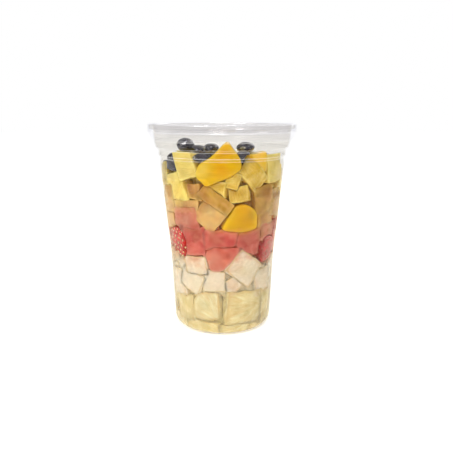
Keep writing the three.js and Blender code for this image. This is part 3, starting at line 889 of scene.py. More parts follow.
def wall_cube(cube, stream, style, seed, steps, tilts=None, **more):
    """A cube at the wall. Unless its lean and spin are given, they are drawn within the layer's tilt."""
    turn, height, width, tall, deep, roll, tone = cube
    lean, spin = tilts or np.random.default_rng(seed).uniform(*TILT_SHARES, 2) * style["tilt"]
    place = dict(turn=turn, height=height, radius=wall_radius(height, deep), roll=roll, lean=lean, spin=spin)
    return cut_cube(width, tall, deep, stream, style, tone, seed, steps, **place, **more)


def round_slice(turn, height, width, tall, deep, roll, tone):
    """The palest piece, cut from a round slice of pineapple, so that its rind side is an arc."""
    style = STYLES["bottom_pineapple"]
    shape, outness, rim = slice_shape(ROUND_OUTLINE, deep, style["rounding"], tall)
    grain = fanned(shape.points, style["fan"], ROUND_BEARING)
    place = dict(turn=turn, height=height, radius=wall_radius(height, deep), roll=roll)
    return Piece(shape, outness, tone, edge=rim, grain=grain, groove=style["groove"], **place)


def hand_cubes(layer, node):
    """The cubes of a layer whose places are given, with the first at the bottom as a round slice."""
    stream = seeded(100 + layer)
    steps = FIBRE_STEPS if node == "bottom_pineapple" else FRONT_STEPS
    cubes = LAYERS[node]["cubes"]
    made = [
        wall_cube(cube, stream, STYLES[node], 1000 * layer + i, steps, **SINGLE[node].get(i, {}))
        for i, cube in enumerate(cubes + LAYERS[node].get("extra", []))
    ]
    if node == "bottom_pineapple":
        # The cube is made all the same, because the next ones go on in its stream of numbers.
        made[0] = round_slice(*cubes[0])
    return made


def rule_cubes(layer, node):
    """Rows of cubes round the free side of a layer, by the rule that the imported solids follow."""
    stream, tones, made = seeded(200 + layer), LAYERS[node]["tones"], []
    for row, (height, size) in enumerate(LAYERS[node]["rows"]):
        across = math.degrees(size / float(inside_radius(height, FLAT_WALL)))
        count = math.floor((FREE_TO - FREE_FROM) / across)
        step = (FREE_TO - FREE_FROM) / count
        for i in range(count):
            turn = FREE_FROM + (i + 0.5 * (row % 2) + RULE_SHIFT * next(stream)) * step
            width = size * (RULE_WIDE[0] + RULE_WIDE[1] * next(stream))
            tall = size * (RULE_TALL[0] + RULE_TALL[1] * next(stream))
            level = height + (next(stream) - 0.5) * RULE_RISE
            roll = (next(stream) - 0.5) * RULE_ROLL
            tone = tones[(3 * i + row) % len(tones)]
            seed = 1000 * layer + 100 * (row + 1) + i
            roll += np.random.default_rng(seed + 7).uniform(-MORE_ROLL, MORE_ROLL)
            cube = (turn, level, width, tall, RULE_DEEP, roll, tone)
            made.append(wall_cube(cube, stream, STYLES[node], seed, ROW_STEPS))
    return made


def top_cubes():
    """The cubes under the grapes, then a spiral of cubes that falls towards the back of the heap."""
    stream, made = seeded(31), []
    style = STYLES["yellow_pineapple"]
    for i, (turn, height, radius) in enumerate(TOP_SUPPORTS):
        place = dict(turn=turn, height=height, radius=radius, loose=True)
        size = [SUPPORT_SIZE] * 3
        made.append(cut_cube(*size, stream, style, "yellow", 4500 + i, FRONT_STEPS, **place))
    for i in range(TOP_CUBES):
        radius = TOP_SPREAD * math.sqrt(i + 0.4)
        turn = i * GOLDEN_ANGLE
        back = -math.cos(math.radians(turn)) * radius
        height = TOP_HEIGHT - TOP_FALL * back + next(stream) * TOP_RISE
        size = TOP_SIZE[0] + TOP_SIZE[1] * next(stream)
        place = dict(turn=turn, height=height, radius=radius, roll=next(stream) * TOP_ROLL, loose=True)
        made.append(cut_cube(size, size, size, stream, style, "honey", 4600 + i, ROW_STEPS, **place))
    return made


def loose_cubes():
    """Cubes that lie every way on top of the heap, set by a golden spiral, with their tops just above it."""
    random, made = np.random.default_rng(47), []
    style = STYLES["yellow_pineapple"]
    for i in range(LOOSE_CUBES):
        size = random.uniform(*LOOSE_SIZES, 3)
        place = dict(turn=(i + 0.5) * GOLDEN_ANGLE, radius=LOOSE_SPREAD * math.sqrt(i + 0.5), loose=True)
        place["height"] = LOOSE_TOP - size[1] / 2 + random.uniform(-LOOSE_RISE, LOOSE_RISE)
        place["roll"] = random.uniform(-180, 180)
        place["lean"], place["spin"] = random.uniform(-LOOSE_TILT, LOOSE_TILT, 2)
        stream = seeded(int(random.integers(1, 10**6)))
        tone = LOOSE_TONES[i % len(LOOSE_TONES)]
        made.append(cut_cube(*size, stream, style, tone, 4700 + i, ROW_STEPS, **place))
    return made


def fill_cubes(layer, node):
    """Smaller pieces a few millimetres behind the wall, which close the gaps between the outer ones."""
    random, tones, made = np.random.default_rng(300 + layer), LAYERS[node]["tones"], []
    low, high = LAYER_HEIGHTS[layer], LAYER_HEIGHTS[layer + 1]
    rows = max(1, round((high - low) / FILL_STEP))
    for row in range(rows):
        level = low + (row + 0.5) * (high - low) / rows
        for turn in np.arange(0, 360, FILL_TURN) + FILL_TURN / 2 * (row % 2):
            size = random.uniform(*FILL_SIZES, 3)
            height = level + random.uniform(-FILL_RISE, FILL_RISE)
            behind = STYLES[node]["behind"] + random.uniform(0, FILL_BACK)
            radius = float(inside_radius(height)) - behind - size[2] / 2
            place = dict(turn=turn + random.uniform(-FILL_SHIFT, FILL_SHIFT), height=height, radius=radius)
            place["roll"] = random.uniform(-FILL_ROLL, FILL_ROLL)
            stream = seeded(int(random.integers(1, 10**6)))
            tone = tones[int(random.integers(len(tones)))]
            seed = int(random.integers(10**6))
            made.append(cut_cube(*size, stream, STYLES[node], tone, seed, FILL_STEPS, **place))
    return made


# Patches where flesh at the wall is mixed towards another tone: turn, height, half width, half height, tone,
# strength. The umber ones and the narrow gold one at turn -2 are painted shade in hollows and gaps between
# pieces.
TONE_AND_SHADE_PATCHES = [
    [-1, 111, 5, 5, "mango_deep", 0.6],
    [-17, 112, 4, 5, "yellow", 0.45],
    [-25, 100, 5, 4, "rosy", 0.5],
    [-39, 87, 5, 4, "tan", 0.5],
    [-35, 79, 5, 4, "blush", 0.4],
    [-25, 84, 4, 5, "rose", 0.35],
    [-9, 54.5, 5, 5, "blush", 0.45],
    [10, 56.5, 5, 6, "rose", 0.5],
    [9, 66, 6, 5, "rose", 0.4],
    [-10, 69, 5, 4, "rosy", 0.4],
    # painted shade in the hollows between the peach pieces
    [28, 89, 4, 9, "umber", 0.55],
    [18, 101, 3, 5, "umber", 0.3],
    [54, 91, 8, 8, "tan", 0.4],
    [-25, 97, 4, 4, "gold", 0.3],
    [20, 80, 9, 8, "gold", 0.52],
    [46, 77, 7, 7, "blush", 0.22],
    [47, 78, 7, 7, "dusky", 0.2],
    [-74, 77, 9, 7, "sand", 0.95],
    [55, 111, 8, 9, "orange", 0.22],
    [-30, 50, 7, 5, "salmon", 0.4],
    [52, 79, 3, 7, "sand", 0.6],
    [47, 9, 9, 6, "tan", 0.5],
    [-18, 24, 4, 8, "green", 0.35],
    [26, 47, 6, 5, "green", 0.3],
    [26, 55, 6, 3, "blush", 0.4],
    [-48, 39, 6, 6, "blush", 0.4],
    # painted shade in the gap between the bottom slice and the cube beside it
    [-2, 22, 2, 9, "gold", 0.2],
    [-49, 18, 4, 7, "honey", 0.3],
    [-62, 84, 8, 8, "sand", 0.7],
    [-56, 76, 5, 4, "blush", 0.5],
]
BLEED = 0.3  # of its half size, how far a piece's tone runs into its neighbours
BLEED_REACH = 1.2  # times two pieces' reach, past which they are no neighbours
CRISP = {"grape", "seed", "dark_seed", "strawberry", "crimson"}  # tones that stay within their piece
SHADING, SHADING_SIZE = 0.07, 13  # how much lighter and darker flesh gets, and from where to where


def run_together(pieces, colours):
    """Gives each point its colour, as wet flesh takes it on from what it lies against.

    The colour is a mean of the piece's own tone and those of its neighbours. A neighbour weighs as much as
    the piece itself where they meet and nothing a little way off. Patches of other tones, among them painted
    shade in hollows and gaps between pieces, are mixed in by a bell curve of the distance along the wall,
    and a field of slow waves makes the whole lighter and darker.
    """
    tones = {name: np.array(getattr(colours, name)) for name in FruitColours.__annotations__}
    for number, piece in enumerate(pieces):
        points = piece.points
        total, weight = np.tile(tones[piece.tone], (len(points), 1)), np.ones(len(points))
        near = [] if piece.tone in CRISP else pieces
        for other in near:
            apart = np.linalg.norm(other.centre - piece.centre)
            if other is piece or other.tone in CRISP or apart > BLEED_REACH * (other.reach + piece.reach):
                continue
            local = (points - other.centre) @ other.axes
            share = smooth_step((1 + BLEED - other.outness(local)) / BLEED)
            total += share[:, None] * tones[other.tone]
            weight += share
        shade = total / weight[:, None]
        if near:
            turn = np.degrees(np.arctan2(points[:, 0], -points[:, 1]))
            out = np.hypot(points[:, 0], points[:, 1])
            # mixes in the patches, with painted shade in hollows and gaps among them
            for about, level, wide, high, tone, strength in TONE_AND_SHADE_PATCHES:
                across = np.radians((turn - about + 180) % 360 - 180) * out / wide
                share = strength * np.exp(-(across**2) - ((points[:, 2] - level) / high) ** 2)
                shade += share[:, None] * (tones[tone] - shade)
        piece.shade = shade * (1 + SHADING * waves(points, SHADING_SIZE, number))[:, None]


def lay_out(contact, colours):
    """Every piece of fruit by the node that it stands for, laid from the foremost to the hindmost."""
    made = {}
    for name, (outline, deep, place) in MANGOES.items():
        shape, outness, rim = slice_shape(outline, deep, SLICE_ROUNDING, len(name))
        made[name] = [Piece(shape, outness, "mango", edge=rim, **place)]
    for name, (tone, seed_tone, size, place) in STRAWBERRIES.items():
        size = size * np.array([1, 1, BERRY_PRESS])
        body, seats, middle, dimple = strawberry_shape(size)
        outness = ellipsoid_outness(size / 2)
        seeds = Piece(seed_shapes(seats, middle), outness, seed_tone, groove=0, **place)
        made[name] = [seeds, Piece(body, outness, tone, dent=dimple, **place)]
    for layer, node in enumerate(LAYERS):
        made[node] = hand_cubes(layer, node)
    style = STYLES["golden_peach"]
    peach = cut_cube(*PEACH_SIZE, seeded(11), style, "orange", 77, FRONT_STEPS, **PEACH_PLACE)
    made["peach_cube"] = [peach]
    for i, (turn, height, radius, across, tall, deep, roll, spin) in enumerate(GRAPES):
        size = np.array([across, tall, deep]) * GRAPE_SWELL
        shape, scar = grape_shape(size, i)
        place = dict(turn=turn, height=height, radius=radius, roll=roll, spin=spin, edge=scar)
        made[f"dark_grape_{i + 1}"] = [Piece(shape, ellipsoid_outness(size / 2), "grape", **place)]
    laid = [piece for pieces in made.values() for piece in pieces]
    for fill in (rule_cubes, fill_cubes):
        for layer, node in enumerate(LAYERS):
            more = fill(layer, node)
            if fill is rule_cubes and node == "yellow_pineapple":
                more += top_cubes() + loose_cubes()
            made[node] += more
            laid += more
    settle(laid, contact)
    run_together(laid, colours)
    return made


# ---------------------------------------------------------------- meshes
# How much flesh behind the wall is lost in juice tint and painted gap shading, by millimetres above the
# table.
CLOUD_HEIGHTS = [0, 50, 75, 100, 110]
CLOUDING = [1.8, 1.6, 1.2, 0.9, 0.0]
GRAIN_TURN, GRAIN_LEAN = 25, 15  # degrees either way by which a piece's fibres lie across it
GRAIN_APART = 37.0  # millimetres in the flesh from one piece's place to the next's


def add_mesh(name, points, faces, material):
    """A mesh object in metres, from points in millimetres."""
    mesh = bpy.data.meshes.new(name)
    mesh.from_pydata((points * MM).tolist(), [], faces)
    mesh.materials.append(material)
    made = bpy.data.objects.new(name, mesh)
    bpy.context.scene.collection.objects.link(made)
    return made


def add_object(name, points, faces, material, slot, replaced=()):
    """A mesh object with smooth faces that rides on the cup's body."""
    made = add_mesh(name, points, faces, material)
    made.data.polygons.foreach_set("use_smooth", np.ones(len(faces), bool))
    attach(made, BODY)
    if replaced:
        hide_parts(*replaced)
    return made


def write_attribute(mesh, name, kind, field, values):
    """Gives a mesh one value, or one row of values, for each point."""
    attribute = mesh.attributes.new(name, kind, "POINT")
    attribute.data.foreach_set(field, np.ascontiguousarray(values, np.float32).ravel())


def add_fruit(name, pieces, material, slot, replaced):
    """Joins pieces into one mesh that holds, for each point, what its material reads.

    tone is the flesh's colour, grain its place in the flesh, turned a little at random, edge its nearness
    to a cut edge, and depth its distance behind the wall, times the clouding at its height, which sets how
    much juice tint and painted gap shading the flesh takes on.
    """
    random = np.random.default_rng(len(pieces))
    points, faces, tone, grain, offset = [], [], [], [], 0
    for number, piece in enumerate(pieces):
        points.append(piece.points)
        faces += piece.shape.faces(offset)
        tone.append(np.column_stack([piece.shade, np.ones(len(piece.points))]))
        turn = turned_by(2, random.uniform(-GRAIN_TURN, GRAIN_TURN))
        lean = turned_by(0, random.uniform(-GRAIN_LEAN, GRAIN_LEAN))
        grain.append(piece.grain @ (turn @ lean) + GRAIN_APART * number)
        offset += len(piece.points)
    points = np.concatenate(points)
    made = add_object(name, points, faces, material, slot, replaced)
    out = np.hypot(points[:, 0], points[:, 1])
    depth = np.maximum(inside_radius(points[:, 2]) - out, 0)
    depth *= np.interp(points[:, 2], CLOUD_HEIGHTS, CLOUDING)
    write_attribute(made.data, "tone", "FLOAT_COLOR", "color", np.concatenate(tone))
    write_attribute(made.data, "grain", "FLOAT_VECTOR", "vector", np.concatenate(grain))
    write_attribute(made.data, "edge", "FLOAT", "value", np.concatenate([piece.edge for piece in pieces]))
    write_attribute(made.data, "depth", "FLOAT", "value", depth)
    return made


def add_revolved(name, profile, material, slot, replaced):
    """A turned piece of formed plastic with rounded corners."""
    sizes = bpy.context.scene.cup_sizes
    shape = revolved(softened(profile, sizes.fillet / MM), sizes.segments)
    return add_object(name, shape.points, shape.faces(), material, slot, replaced)


# ---------------------------------------------------------------- shader maths
def arithmetic(operation, reflected=False):
    """The method for an operator of Field. In its reflected form the field stands on the right."""

    def method(self, other):
        first, second = (other, self) if reflected else (self, other)
        return self.finish.node("Math", {"operation": operation}, {0: first, 1: second})

    return method


class Field:
    """A value socket of a node tree. Arithmetic on fields and numbers adds Math nodes."""

    __add__, __radd__ = arithmetic("ADD"), arithmetic("ADD", reflected=True)
    __sub__, __rsub__ = arithmetic("SUBTRACT"), arithmetic("SUBTRACT", reflected=True)
    __mul__, __rmul__ = arithmetic("MULTIPLY"), arithmetic("MULTIPLY", reflected=True)
    __truediv__, __rtruediv__ = arithmetic("DIVIDE"), arithmetic("DIVIDE", reflected=True)
    __pow__, __rpow__ = arithmetic("POWER"), arithmetic("POWER", reflected=True)

    def __init__(self, finish, socket):
        self.finish = finish
        self.socket = socket

    def held(self):
        """The value, kept between 0 and 1."""
        return self.finish.node("Clamp", {}, {"Value": self})


class Finish:
    """One material and the ways to add nodes to it."""

    def __init__(self, name):
        self.material = bpy.data.materials.new(name)
        self.material.use_nodes = True
        self.tree = self.material.node_tree
        self.tree.nodes.clear()

    def connect(self, socket, value):
        """Links a field to a socket, or sets the socket to a constant."""
        if isinstance(value, Field):
            self.tree.links.new(value.socket, socket)
        else:
            socket.default_value = value

    def node(self, kind, settings, sockets, output=0):
        """Adds a node: settings are its own properties, sockets the values or links of its inputs."""
        made = self.tree.nodes.new("ShaderNode" + kind)
        for key, value in settings.items():
            if key == "stops":
                self.set_stops(made.color_ramp, value)
            else:
                setattr(made, key, value)
        for key, value in sockets.items():
            self.connect(made.inputs[key], value)
        return Field(self, made.outputs[output])

    @staticmethod
    def set_stops(ramp, stops):
        """Gives a colour ramp its colours, each with its place from 0 to 1."""
        while len(ramp.elements) < len(stops):
            ramp.elements.new(1)
        for element, (place, shade) in zip(ramp.elements, stops):
            element.position = place
            element.color = (*shade, 1)

    def read(self, name, output="Vector"):
        """A value that the mesh holds for each point."""
        return self.node("Attribute", {"attribute_name": name}, {}, output)

    def place(self):
        """Object coordinates, in metres."""
        return self.node("TexCoord", {}, {}, "Object")

    def height(self):
        """Height above the table, in millimetres."""
        return self.node("SeparateXYZ", {}, {0: self.place()}, "Z") / MM

    def stretched(self, vector, scale):
        """A vector with each of its parts scaled, which stretches what reads it the other way."""
        return self.node("VectorMath", {"operation": "MULTIPLY"}, {0: vector, 1: scale})

    def noise(self, vector, scale=1.0, detail=2, roughness=0.5, swirl=0):
        """Soft noise from 0 to 1, with scale spots to a unit of length."""
        sockets = {
            "Vector": vector, "Scale": scale, "Detail": detail, "Roughness": roughness, "Distortion": swirl
        }
        return self.node("TexNoise", {}, sockets)

    def contrast(self, value, gain):
        """A noise value spread about its middle and kept between 0 and 1."""
        return ((value - 0.5) * gain + 0.5).held()

    def mix(self, factor, one, other):
        """A colour between two others. Sockets 6 and 7 and output 2 are a Mix node's colours."""
        return self.node("Mix", {"data_type": "RGBA"}, {0: factor, 6: one, 7: other}, 2)

    def scaled(self, shade, factor):
        """A colour made lighter or darker."""
        return self.node("VectorMath", {"operation": "SCALE"}, {0: shade, "Scale": factor})

    def bump(self, height, depth):
        """A normal from a relief of that depth, in millimetres."""
        return self.node("Bump", {}, {"Strength": 1, "Distance": depth * MM, "Height": height})

    def close(self, surface):
        """Ends the material with its surface."""
        output = self.tree.nodes.new("ShaderNodeOutputMaterial")
        self.connect(output.inputs["Surface"], surface)
        return self.material


JUICE_CLEAR = (*srgb(254, 251, 240), 1)
JUICE_MILKY = (*srgb(238, 227, 196), 1)
MILKY_TO, CLEAR_FROM = 42.0, 54.0  # heights in millimetres between which the milky cast fades
MILKY_LEAST = 0.04  # what is left of it above them

# Second tones that flesh changes to in patches and along its cut edges. Along the edges, the pale ones are
# painted highlights and MELON_CREASE_SHADE is painted shade.
CREAMY_PINEAPPLE = (*srgb(253, 252, 224), 1)
PALE_PINEAPPLE = (*srgb(254, 234, 144), 1)
RIPE_PINEAPPLE = (*srgb(206, 164, 70), 1)
MELON_WHITE = (*srgb(242, 234, 226), 1)
MELON_RIND = (*srgb(228, 216, 190), 1)
# painted shade: the tone that white melon darkens to along its cut edges, in the creases between pieces
MELON_CREASE_SHADE = (*srgb(214, 180, 126), 1)
MELON_PINK = (*srgb(224, 138, 126), 1)
MELON_HEART = (*srgb(178, 60, 60), 1)
PEACH_ROSE = (*srgb(186, 104, 66), 1)
PEACH_PALE = (*srgb(226, 186, 108), 1)

# Juice tint and painted shading of the gaps between pieces, by share of the cup's height: it tints flesh that
# lies behind the wall, darker between the upper pieces and pale in the seams of the lower ones, where it
# lightens the shade that falls there.
JUICE_AND_GAP_SHADING_STOPS = [
    (0.0, srgb(246, 224, 144)),
    (0.18, srgb(247, 226, 148)),
    (0.24, srgb(250, 232, 192)),
    (0.36, srgb(244, 210, 176)),
    (0.42, srgb(204, 104, 84)),
    (0.54, srgb(214, 134, 92)),
    (0.62, srgb(208, 156, 86)),
    (0.8, srgb(168, 122, 46)),
]
# Painted reflection lines: at each bend the plastic mirrors more in a thin band, standing in for the glint of
# the bend's curve.
BEND_REFLECTION_WIDTH = 0.4  # half the width of a pale mark, in millimetres
BEND_REFLECTION_SHINE = 0.14  # how much a mark mirrors
JUICE_AND_GAP_SHADING_DEPTH = 4.0  # millimetres behind the wall at which most of the flesh's own tone is lost
JUICE_AND_GAP_SHADING_MOST = 0.85
SCATTER = 3  # millimetres that light runs through flesh
FLESH_SHINE, BERRY_SHINE, GRAPE_SHINE = 1.33, 1.6, 1.7  # index of refraction of the film on each


def flesh(
    finish, tone, light, relief, gloss, depth, wet=0.6, softness=0.5, juice_and_gap_shading_most=JUICE_AND_GAP_SHADING_MOST, shine=FLESH_SHINE
):
    """The shader that all fruit shares: its tone times the light field, lost behind the wall in juice tint
    and painted gap shading.

    relief stands out by depth, in millimetres, and gloss is the roughness. wet is how much film lies on it
    and shine how that film bends light, softness how much light runs through the flesh, and
    juice_and_gap_shading_most the most that juice tint and painted gap shading hide of it.
    """
    behind = finish.read("depth", "Fac")
    # painted gap shading: flesh further behind the wall takes on more of the ramp's tone, on top of the
    # juice's own tint
    juice_and_gap_shading = (1 - math.e ** (behind * (-1 / JUICE_AND_GAP_SHADING_DEPTH))) * juice_and_gap_shading_most
    juice = finish.node("ValToRGB", {"stops": JUICE_AND_GAP_SHADING_STOPS}, {"Fac": finish.height() / LID_TOP})
    surface = finish.node(
        "BsdfPrincipled",
        {},
        {
            "Base Color": finish.mix(juice_and_gap_shading, finish.scaled(tone, light), juice),
            "Roughness": gloss,
            "Subsurface Weight": softness,
            "Subsurface Radius": (1.0, 0.8, 0.6),
            "Subsurface Scale": SCATTER * MM,
            "Specular IOR Level": 0.1,
            "Coat Weight": wet,
            "Coat Roughness": 0.04,
            "Coat IOR": shine,
            "Normal": finish.bump(relief, depth),
        },
    )
    return finish.close(surface)


def pineapple_finish(name, pale, rim, ripeness, swirl):
    """Stringy flesh: coarse and fine threads along each piece, in patches from pale to ripe.

    rim is the tone painted along its cut edges, a painted highlight where it is paler than the flesh, and
    swirl how far its threads bend.
    """
    finish = Finish(name)
    grain = finish.read("grain")
    edge = finish.read("edge", "Fac")
    coarse = finish.noise(finish.stretched(grain, (0.06, 0.5, 0.2)), swirl=swirl)
    fine = finish.noise(finish.stretched(grain, (0.1, 1.6, 0.6)), roughness=0.6, swirl=swirl)
    threads = finish.contrast(coarse, 5) * 0.5 + finish.contrast(fine, 5) * 0.5
    mottle = finish.contrast(finish.noise(grain, 0.16), 3)
    tone = finish.mix(mottle * 0.6, finish.read("tone", "Color"), pale)
    tone = finish.mix(threads * ripeness, tone, RIPE_PINEAPPLE)
    # the rim tone along the cut edges; where it is pale, a painted highlight
    tone = finish.mix(edge**2 * 0.45, tone, rim)
    return flesh(finish, tone, 0.84 + mottle * 0.16 + threads * 0.1, threads, 0.24 + fine * 0.16, 0.3)


def white_melon_finish(name):
    """Close, slightly glassy flesh, white in patches, greener towards its rind and with painted shade along
    its cut edges.
    """
    finish = Finish(name)
    grain = finish.read("grain")
    edge = finish.read("edge", "Fac")
    patches = finish.contrast(finish.noise(grain, 0.16, detail=3), 3)
    green = finish.contrast(finish.noise(grain, 0.07, detail=1), 4)
    fine = finish.contrast(finish.noise(grain, 0.5, detail=3, roughness=0.6), 2)
    tone = finish.mix(green * 0.4, finish.read("tone", "Color"), MELON_RIND)
    tone = finish.mix(patches * 0.8, tone, MELON_WHITE)
    # painted shade in the creases along the cut edges
    tone = finish.mix(edge**4 * 0.7, tone, MELON_CREASE_SHADE)
    return flesh(finish, tone, 0.8 + fine * 0.22, fine, 0.16 + fine * 0.16, 0.1, wet=0.3, softness=0.8)


def red_melon_finish(name):
    """Grainy flesh that glistens, deeper at the heart and fading to pink in soft patches."""
    finish = Finish(name)
    grain = finish.read("grain")
    patches = finish.contrast(finish.noise(grain, 0.12), 3.5)
    pink = finish.contrast(finish.noise(grain, 0.2, detail=4, roughness=0.6, swirl=0.6), 4)
    sugar = finish.noise(grain, 1.3)
    tone = finish.mix(patches * 0.5, finish.read("tone", "Color"), MELON_HEART)
    tone = finish.mix(pink * 0.5, tone, MELON_PINK)
    return flesh(finish, tone, 0.76 + sugar * 0.4, sugar, 0.2 + sugar * 0.16, 0.16, wet=0.5)


def peach_finish(name, rosiness=0.3, light=0.74):
    """Soft flesh in cloudy patches and rosy in places, with a painted highlight that makes it paler along its
    cut edges.
    """
    finish = Finish(name)
    grain = finish.read("grain")
    edge = finish.read("edge", "Fac")
    clouds = finish.contrast(finish.noise(grain, 0.17, detail=3, swirl=0.5), 3.5)
    rosy = finish.contrast(finish.noise(grain, 0.1), 4)
    fine = finish.noise(finish.stretched(grain, (0.9, 0.3, 0.6)), detail=3, roughness=0.6)
    tone = finish.mix(clouds * 0.5, finish.read("tone", "Color"), PEACH_PALE)
    tone = finish.mix(rosy * rosiness, tone, PEACH_ROSE)
    # painted highlight along the cut edges
    tone = finish.mix(edge * 0.3, tone, PEACH_PALE)
    return flesh(finish, tone, light + clouds * 0.14 + fine * 0.2, fine, 0.22 + rosy * 0.1, 0.15)


def mango_finish(name):
    """Smooth, deep yellow flesh with fine fibres, soft deeper patches and a painted highlight along its cut
    edges.
    """
    finish = Finish(name)
    tones = bpy.context.scene.fruit_colours
    grain = finish.read("grain")
    edge = finish.read("edge", "Fac")
    patches = finish.contrast(finish.noise(grain, 0.08, detail=1), 3.5)
    fibres = finish.contrast(finish.noise(finish.stretched(grain, (0.1, 0.7, 0.35))), 3)
    tone = finish.mix(patches * 0.5, finish.read("tone", "Color"), (*tones.mango_deep, 1))
    # painted highlight along the cut edges
    tone = finish.mix(edge * 0.3, tone, (*tones.mango_edge_highlight, 1))
    return flesh(finish, tone, 0.86 + fibres * 0.16, fibres, 0.3, 0.06, wet=0.2, juice_and_gap_shading_most=0.3)


def strawberry_finish(name):
    """Bright skin, deeper in broad patches, with seeds in their own tone."""
    finish = Finish(name)
    patches = finish.contrast(finish.noise(finish.read("grain"), 0.22, detail=3), 3)
    tone = finish.read("tone", "Color")
    light, gloss = 0.68 + patches * 0.5, 0.14 + patches * 0.1
    film = dict(wet=0.9, softness=0.1, juice_and_gap_shading_most=0.1, shine=BERRY_SHINE)
    return flesh(finish, tone, light, patches, gloss, 0.08, **film)


def grape_finish(name):
    """Almost black, shining skin with a thin bluish bloom, and flesh where it was torn from its stem."""
    finish = Finish(name)
    tones = bpy.context.scene.fruit_colours
    bloom = finish.contrast(finish.noise(finish.read("grain"), 0.3, detail=4, roughness=0.6), 4)
    scar = finish.read("edge", "Fac")
    tone = finish.mix(bloom * 0.35, finish.read("tone", "Color"), (*tones.grape_bloom, 1))
    tone = finish.mix((scar * 2).held(), tone, (*tones.grape_flesh, 1))
    tone = finish.mix((scar * 2 - 1).held(), tone, (*tones.cream, 1))
    light, gloss = 0.5 + bloom * 0.3, 0.1 + bloom * 0.2
    film = dict(wet=1.0, softness=0.0, juice_and_gap_shading_most=0.0, shine=GRAPE_SHINE)
    return flesh(finish, tone, light, bloom, gloss, 0.03, **film)


def plastic_finish(name, clear, haze, rise, marks):
    """Clear formed sheet: see-through, with a thin haze and painted reflection lines where it was bent.

    It mirrors by its haze, and by its rise more where it is seen edge on. marks are the heights of its bends,
    where a thin band mirrors more as a painted reflection line, and each band fades out as the square of
    the distance from it.
    """
    finish = Finish(name)
    tones = bpy.context.scene.fruit_colours
    drawn = finish.noise(finish.stretched(finish.place(), (60, 60, 14)))
    relief = finish.bump(drawn, 0.05)
    edge = finish.node("LayerWeight", {}, {"Blend": 0.35, "Normal": relief}, "Facing")
    height = finish.height()
    # painted reflection lines: more mirror in a thin band at each bend
    bent = sum((1 - ((height - mark) / BEND_REFLECTION_WIDTH) ** 2).held() for mark in marks) * BEND_REFLECTION_SHINE
    glass = finish.node("BsdfTransparent", {}, {"Color": (*clear, 1)})
    mirror = finish.node("BsdfGlossy", {}, {"Color": (*tones.sheen, 1), "Roughness": 0.06, "Normal": relief})
    factor = (haze + bent + edge**4 * rise).held()
    return finish.close(finish.node("MixShader", {}, {0: factor, 1: glass, 2: mirror}))


def juice_finish(name):
    """Clear juice with a milky cast, strongest low in the cup and where it is seen edge on."""
    finish = Finish(name)
    cloud = finish.contrast(finish.noise(finish.stretched(finish.place(), (45, 45, 60)), detail=3), 2)
    edge = finish.node("LayerWeight", {}, {"Blend": 0.35}, "Facing")
    span = {0: finish.height(), 1: MILKY_TO, 2: CLEAR_FROM, 3: 1.0, 4: MILKY_LEAST}
    low = finish.node("MapRange", {}, span)
    clear = finish.node("BsdfTransparent", {}, {"Color": JUICE_CLEAR})
    milky = finish.node("BsdfPrincipled", {}, {"Base Color": JUICE_MILKY, "Roughness": 0.3})
    factor = (low * (0.1 + cloud * 0.14 + edge**3 * 0.5)).held()
    return finish.close(finish.node("MixShader", {}, {0: factor, 1: clear, 2: milky}))


# Each layer's slot, its finish and what that is given.
LAYER_FINISHES = {
    "bottom_pineapple": (
        "pale_pineapple",
        pineapple_finish,
        dict(pale=CREAMY_PINEAPPLE, rim=RIPE_PINEAPPLE, ripeness=0.62, swirl=0.8),
    ),
    "white_melon": ("white_melon", white_melon_finish, {}),
    "red_melon": ("red_melon", red_melon_finish, {}),
    "golden_peach": ("golden_peach", peach_finish, {}),
    "yellow_pineapple": (
        "yellow_pineapple",
        pineapple_finish,
        # the pale rim paints a highlight along the cut edges of the upper pineapple
        dict(pale=PALE_PINEAPPLE, rim=PALE_PINEAPPLE, ripeness=0.4, swirl=0.3),
    ),
}


# ---------------------------------------------------------------- cup, lid and juice
# the bends at these heights carry painted reflection lines
CUP_BENDS = RING_LINE[:, 1]  # heights of the bends that show as pale marks
LID_BENDS = [128.4, 133.2, 137.6]
JUICE_RISE = [[3, 1], [0.8, 0.6]]  # bends near the juice's edge: how far in from it and how far below it


def corner_arc(radius):
    """The quarter circle from floor to wall, outwards, without its first point."""
    angle = np.linspace(0, np.pi / 2, 9)[1:]
    return np.stack([FOOT_RADIUS + radius * np.sin(angle), CORNER_RADIUS - radius * np.cos(angle)], axis=1)


def cup_profile():
    """Half the cup's section: under the foot, up the outside, over the rim and down the inside."""
    top = CUP_HIGH.z / MM
    foot_inside = FOOT_RADIUS - FOOT_WIDTH
    foot = [[0, FOOT_LIFT], [foot_inside - FOOT_LIFT, FOOT_LIFT], [foot_inside, 0], [FOOT_RADIUS, 0]]
    rim = [[BEAD_RADIUS, BEAD_FOOT], [BEAD_RADIUS, top - WALL], [BEAD_RADIUS - WALL, top]]
    rings_inside = RING_LINE + WALL * np.stack([-np.ones(len(RING_LIFT)), RING_LIFT], axis=1)
    outside = [foot, corner_arc(CORNER_RADIUS), SMOOTH_WALL[1:], RING_LINE, rim]
    wall_inside = SMOOTH_WALL[::-1] - [WALL, 0]
    corner_inside = corner_arc(CORNER_RADIUS - WALL)[-2::-1]
    floor = [[foot_inside, FLOOR], [0, FLOOR]]
    inside = [[[RING_LINE[-1, 0], top]], rings_inside[::-1], wall_inside, corner_inside, floor]
    return np.concatenate(outside + inside)


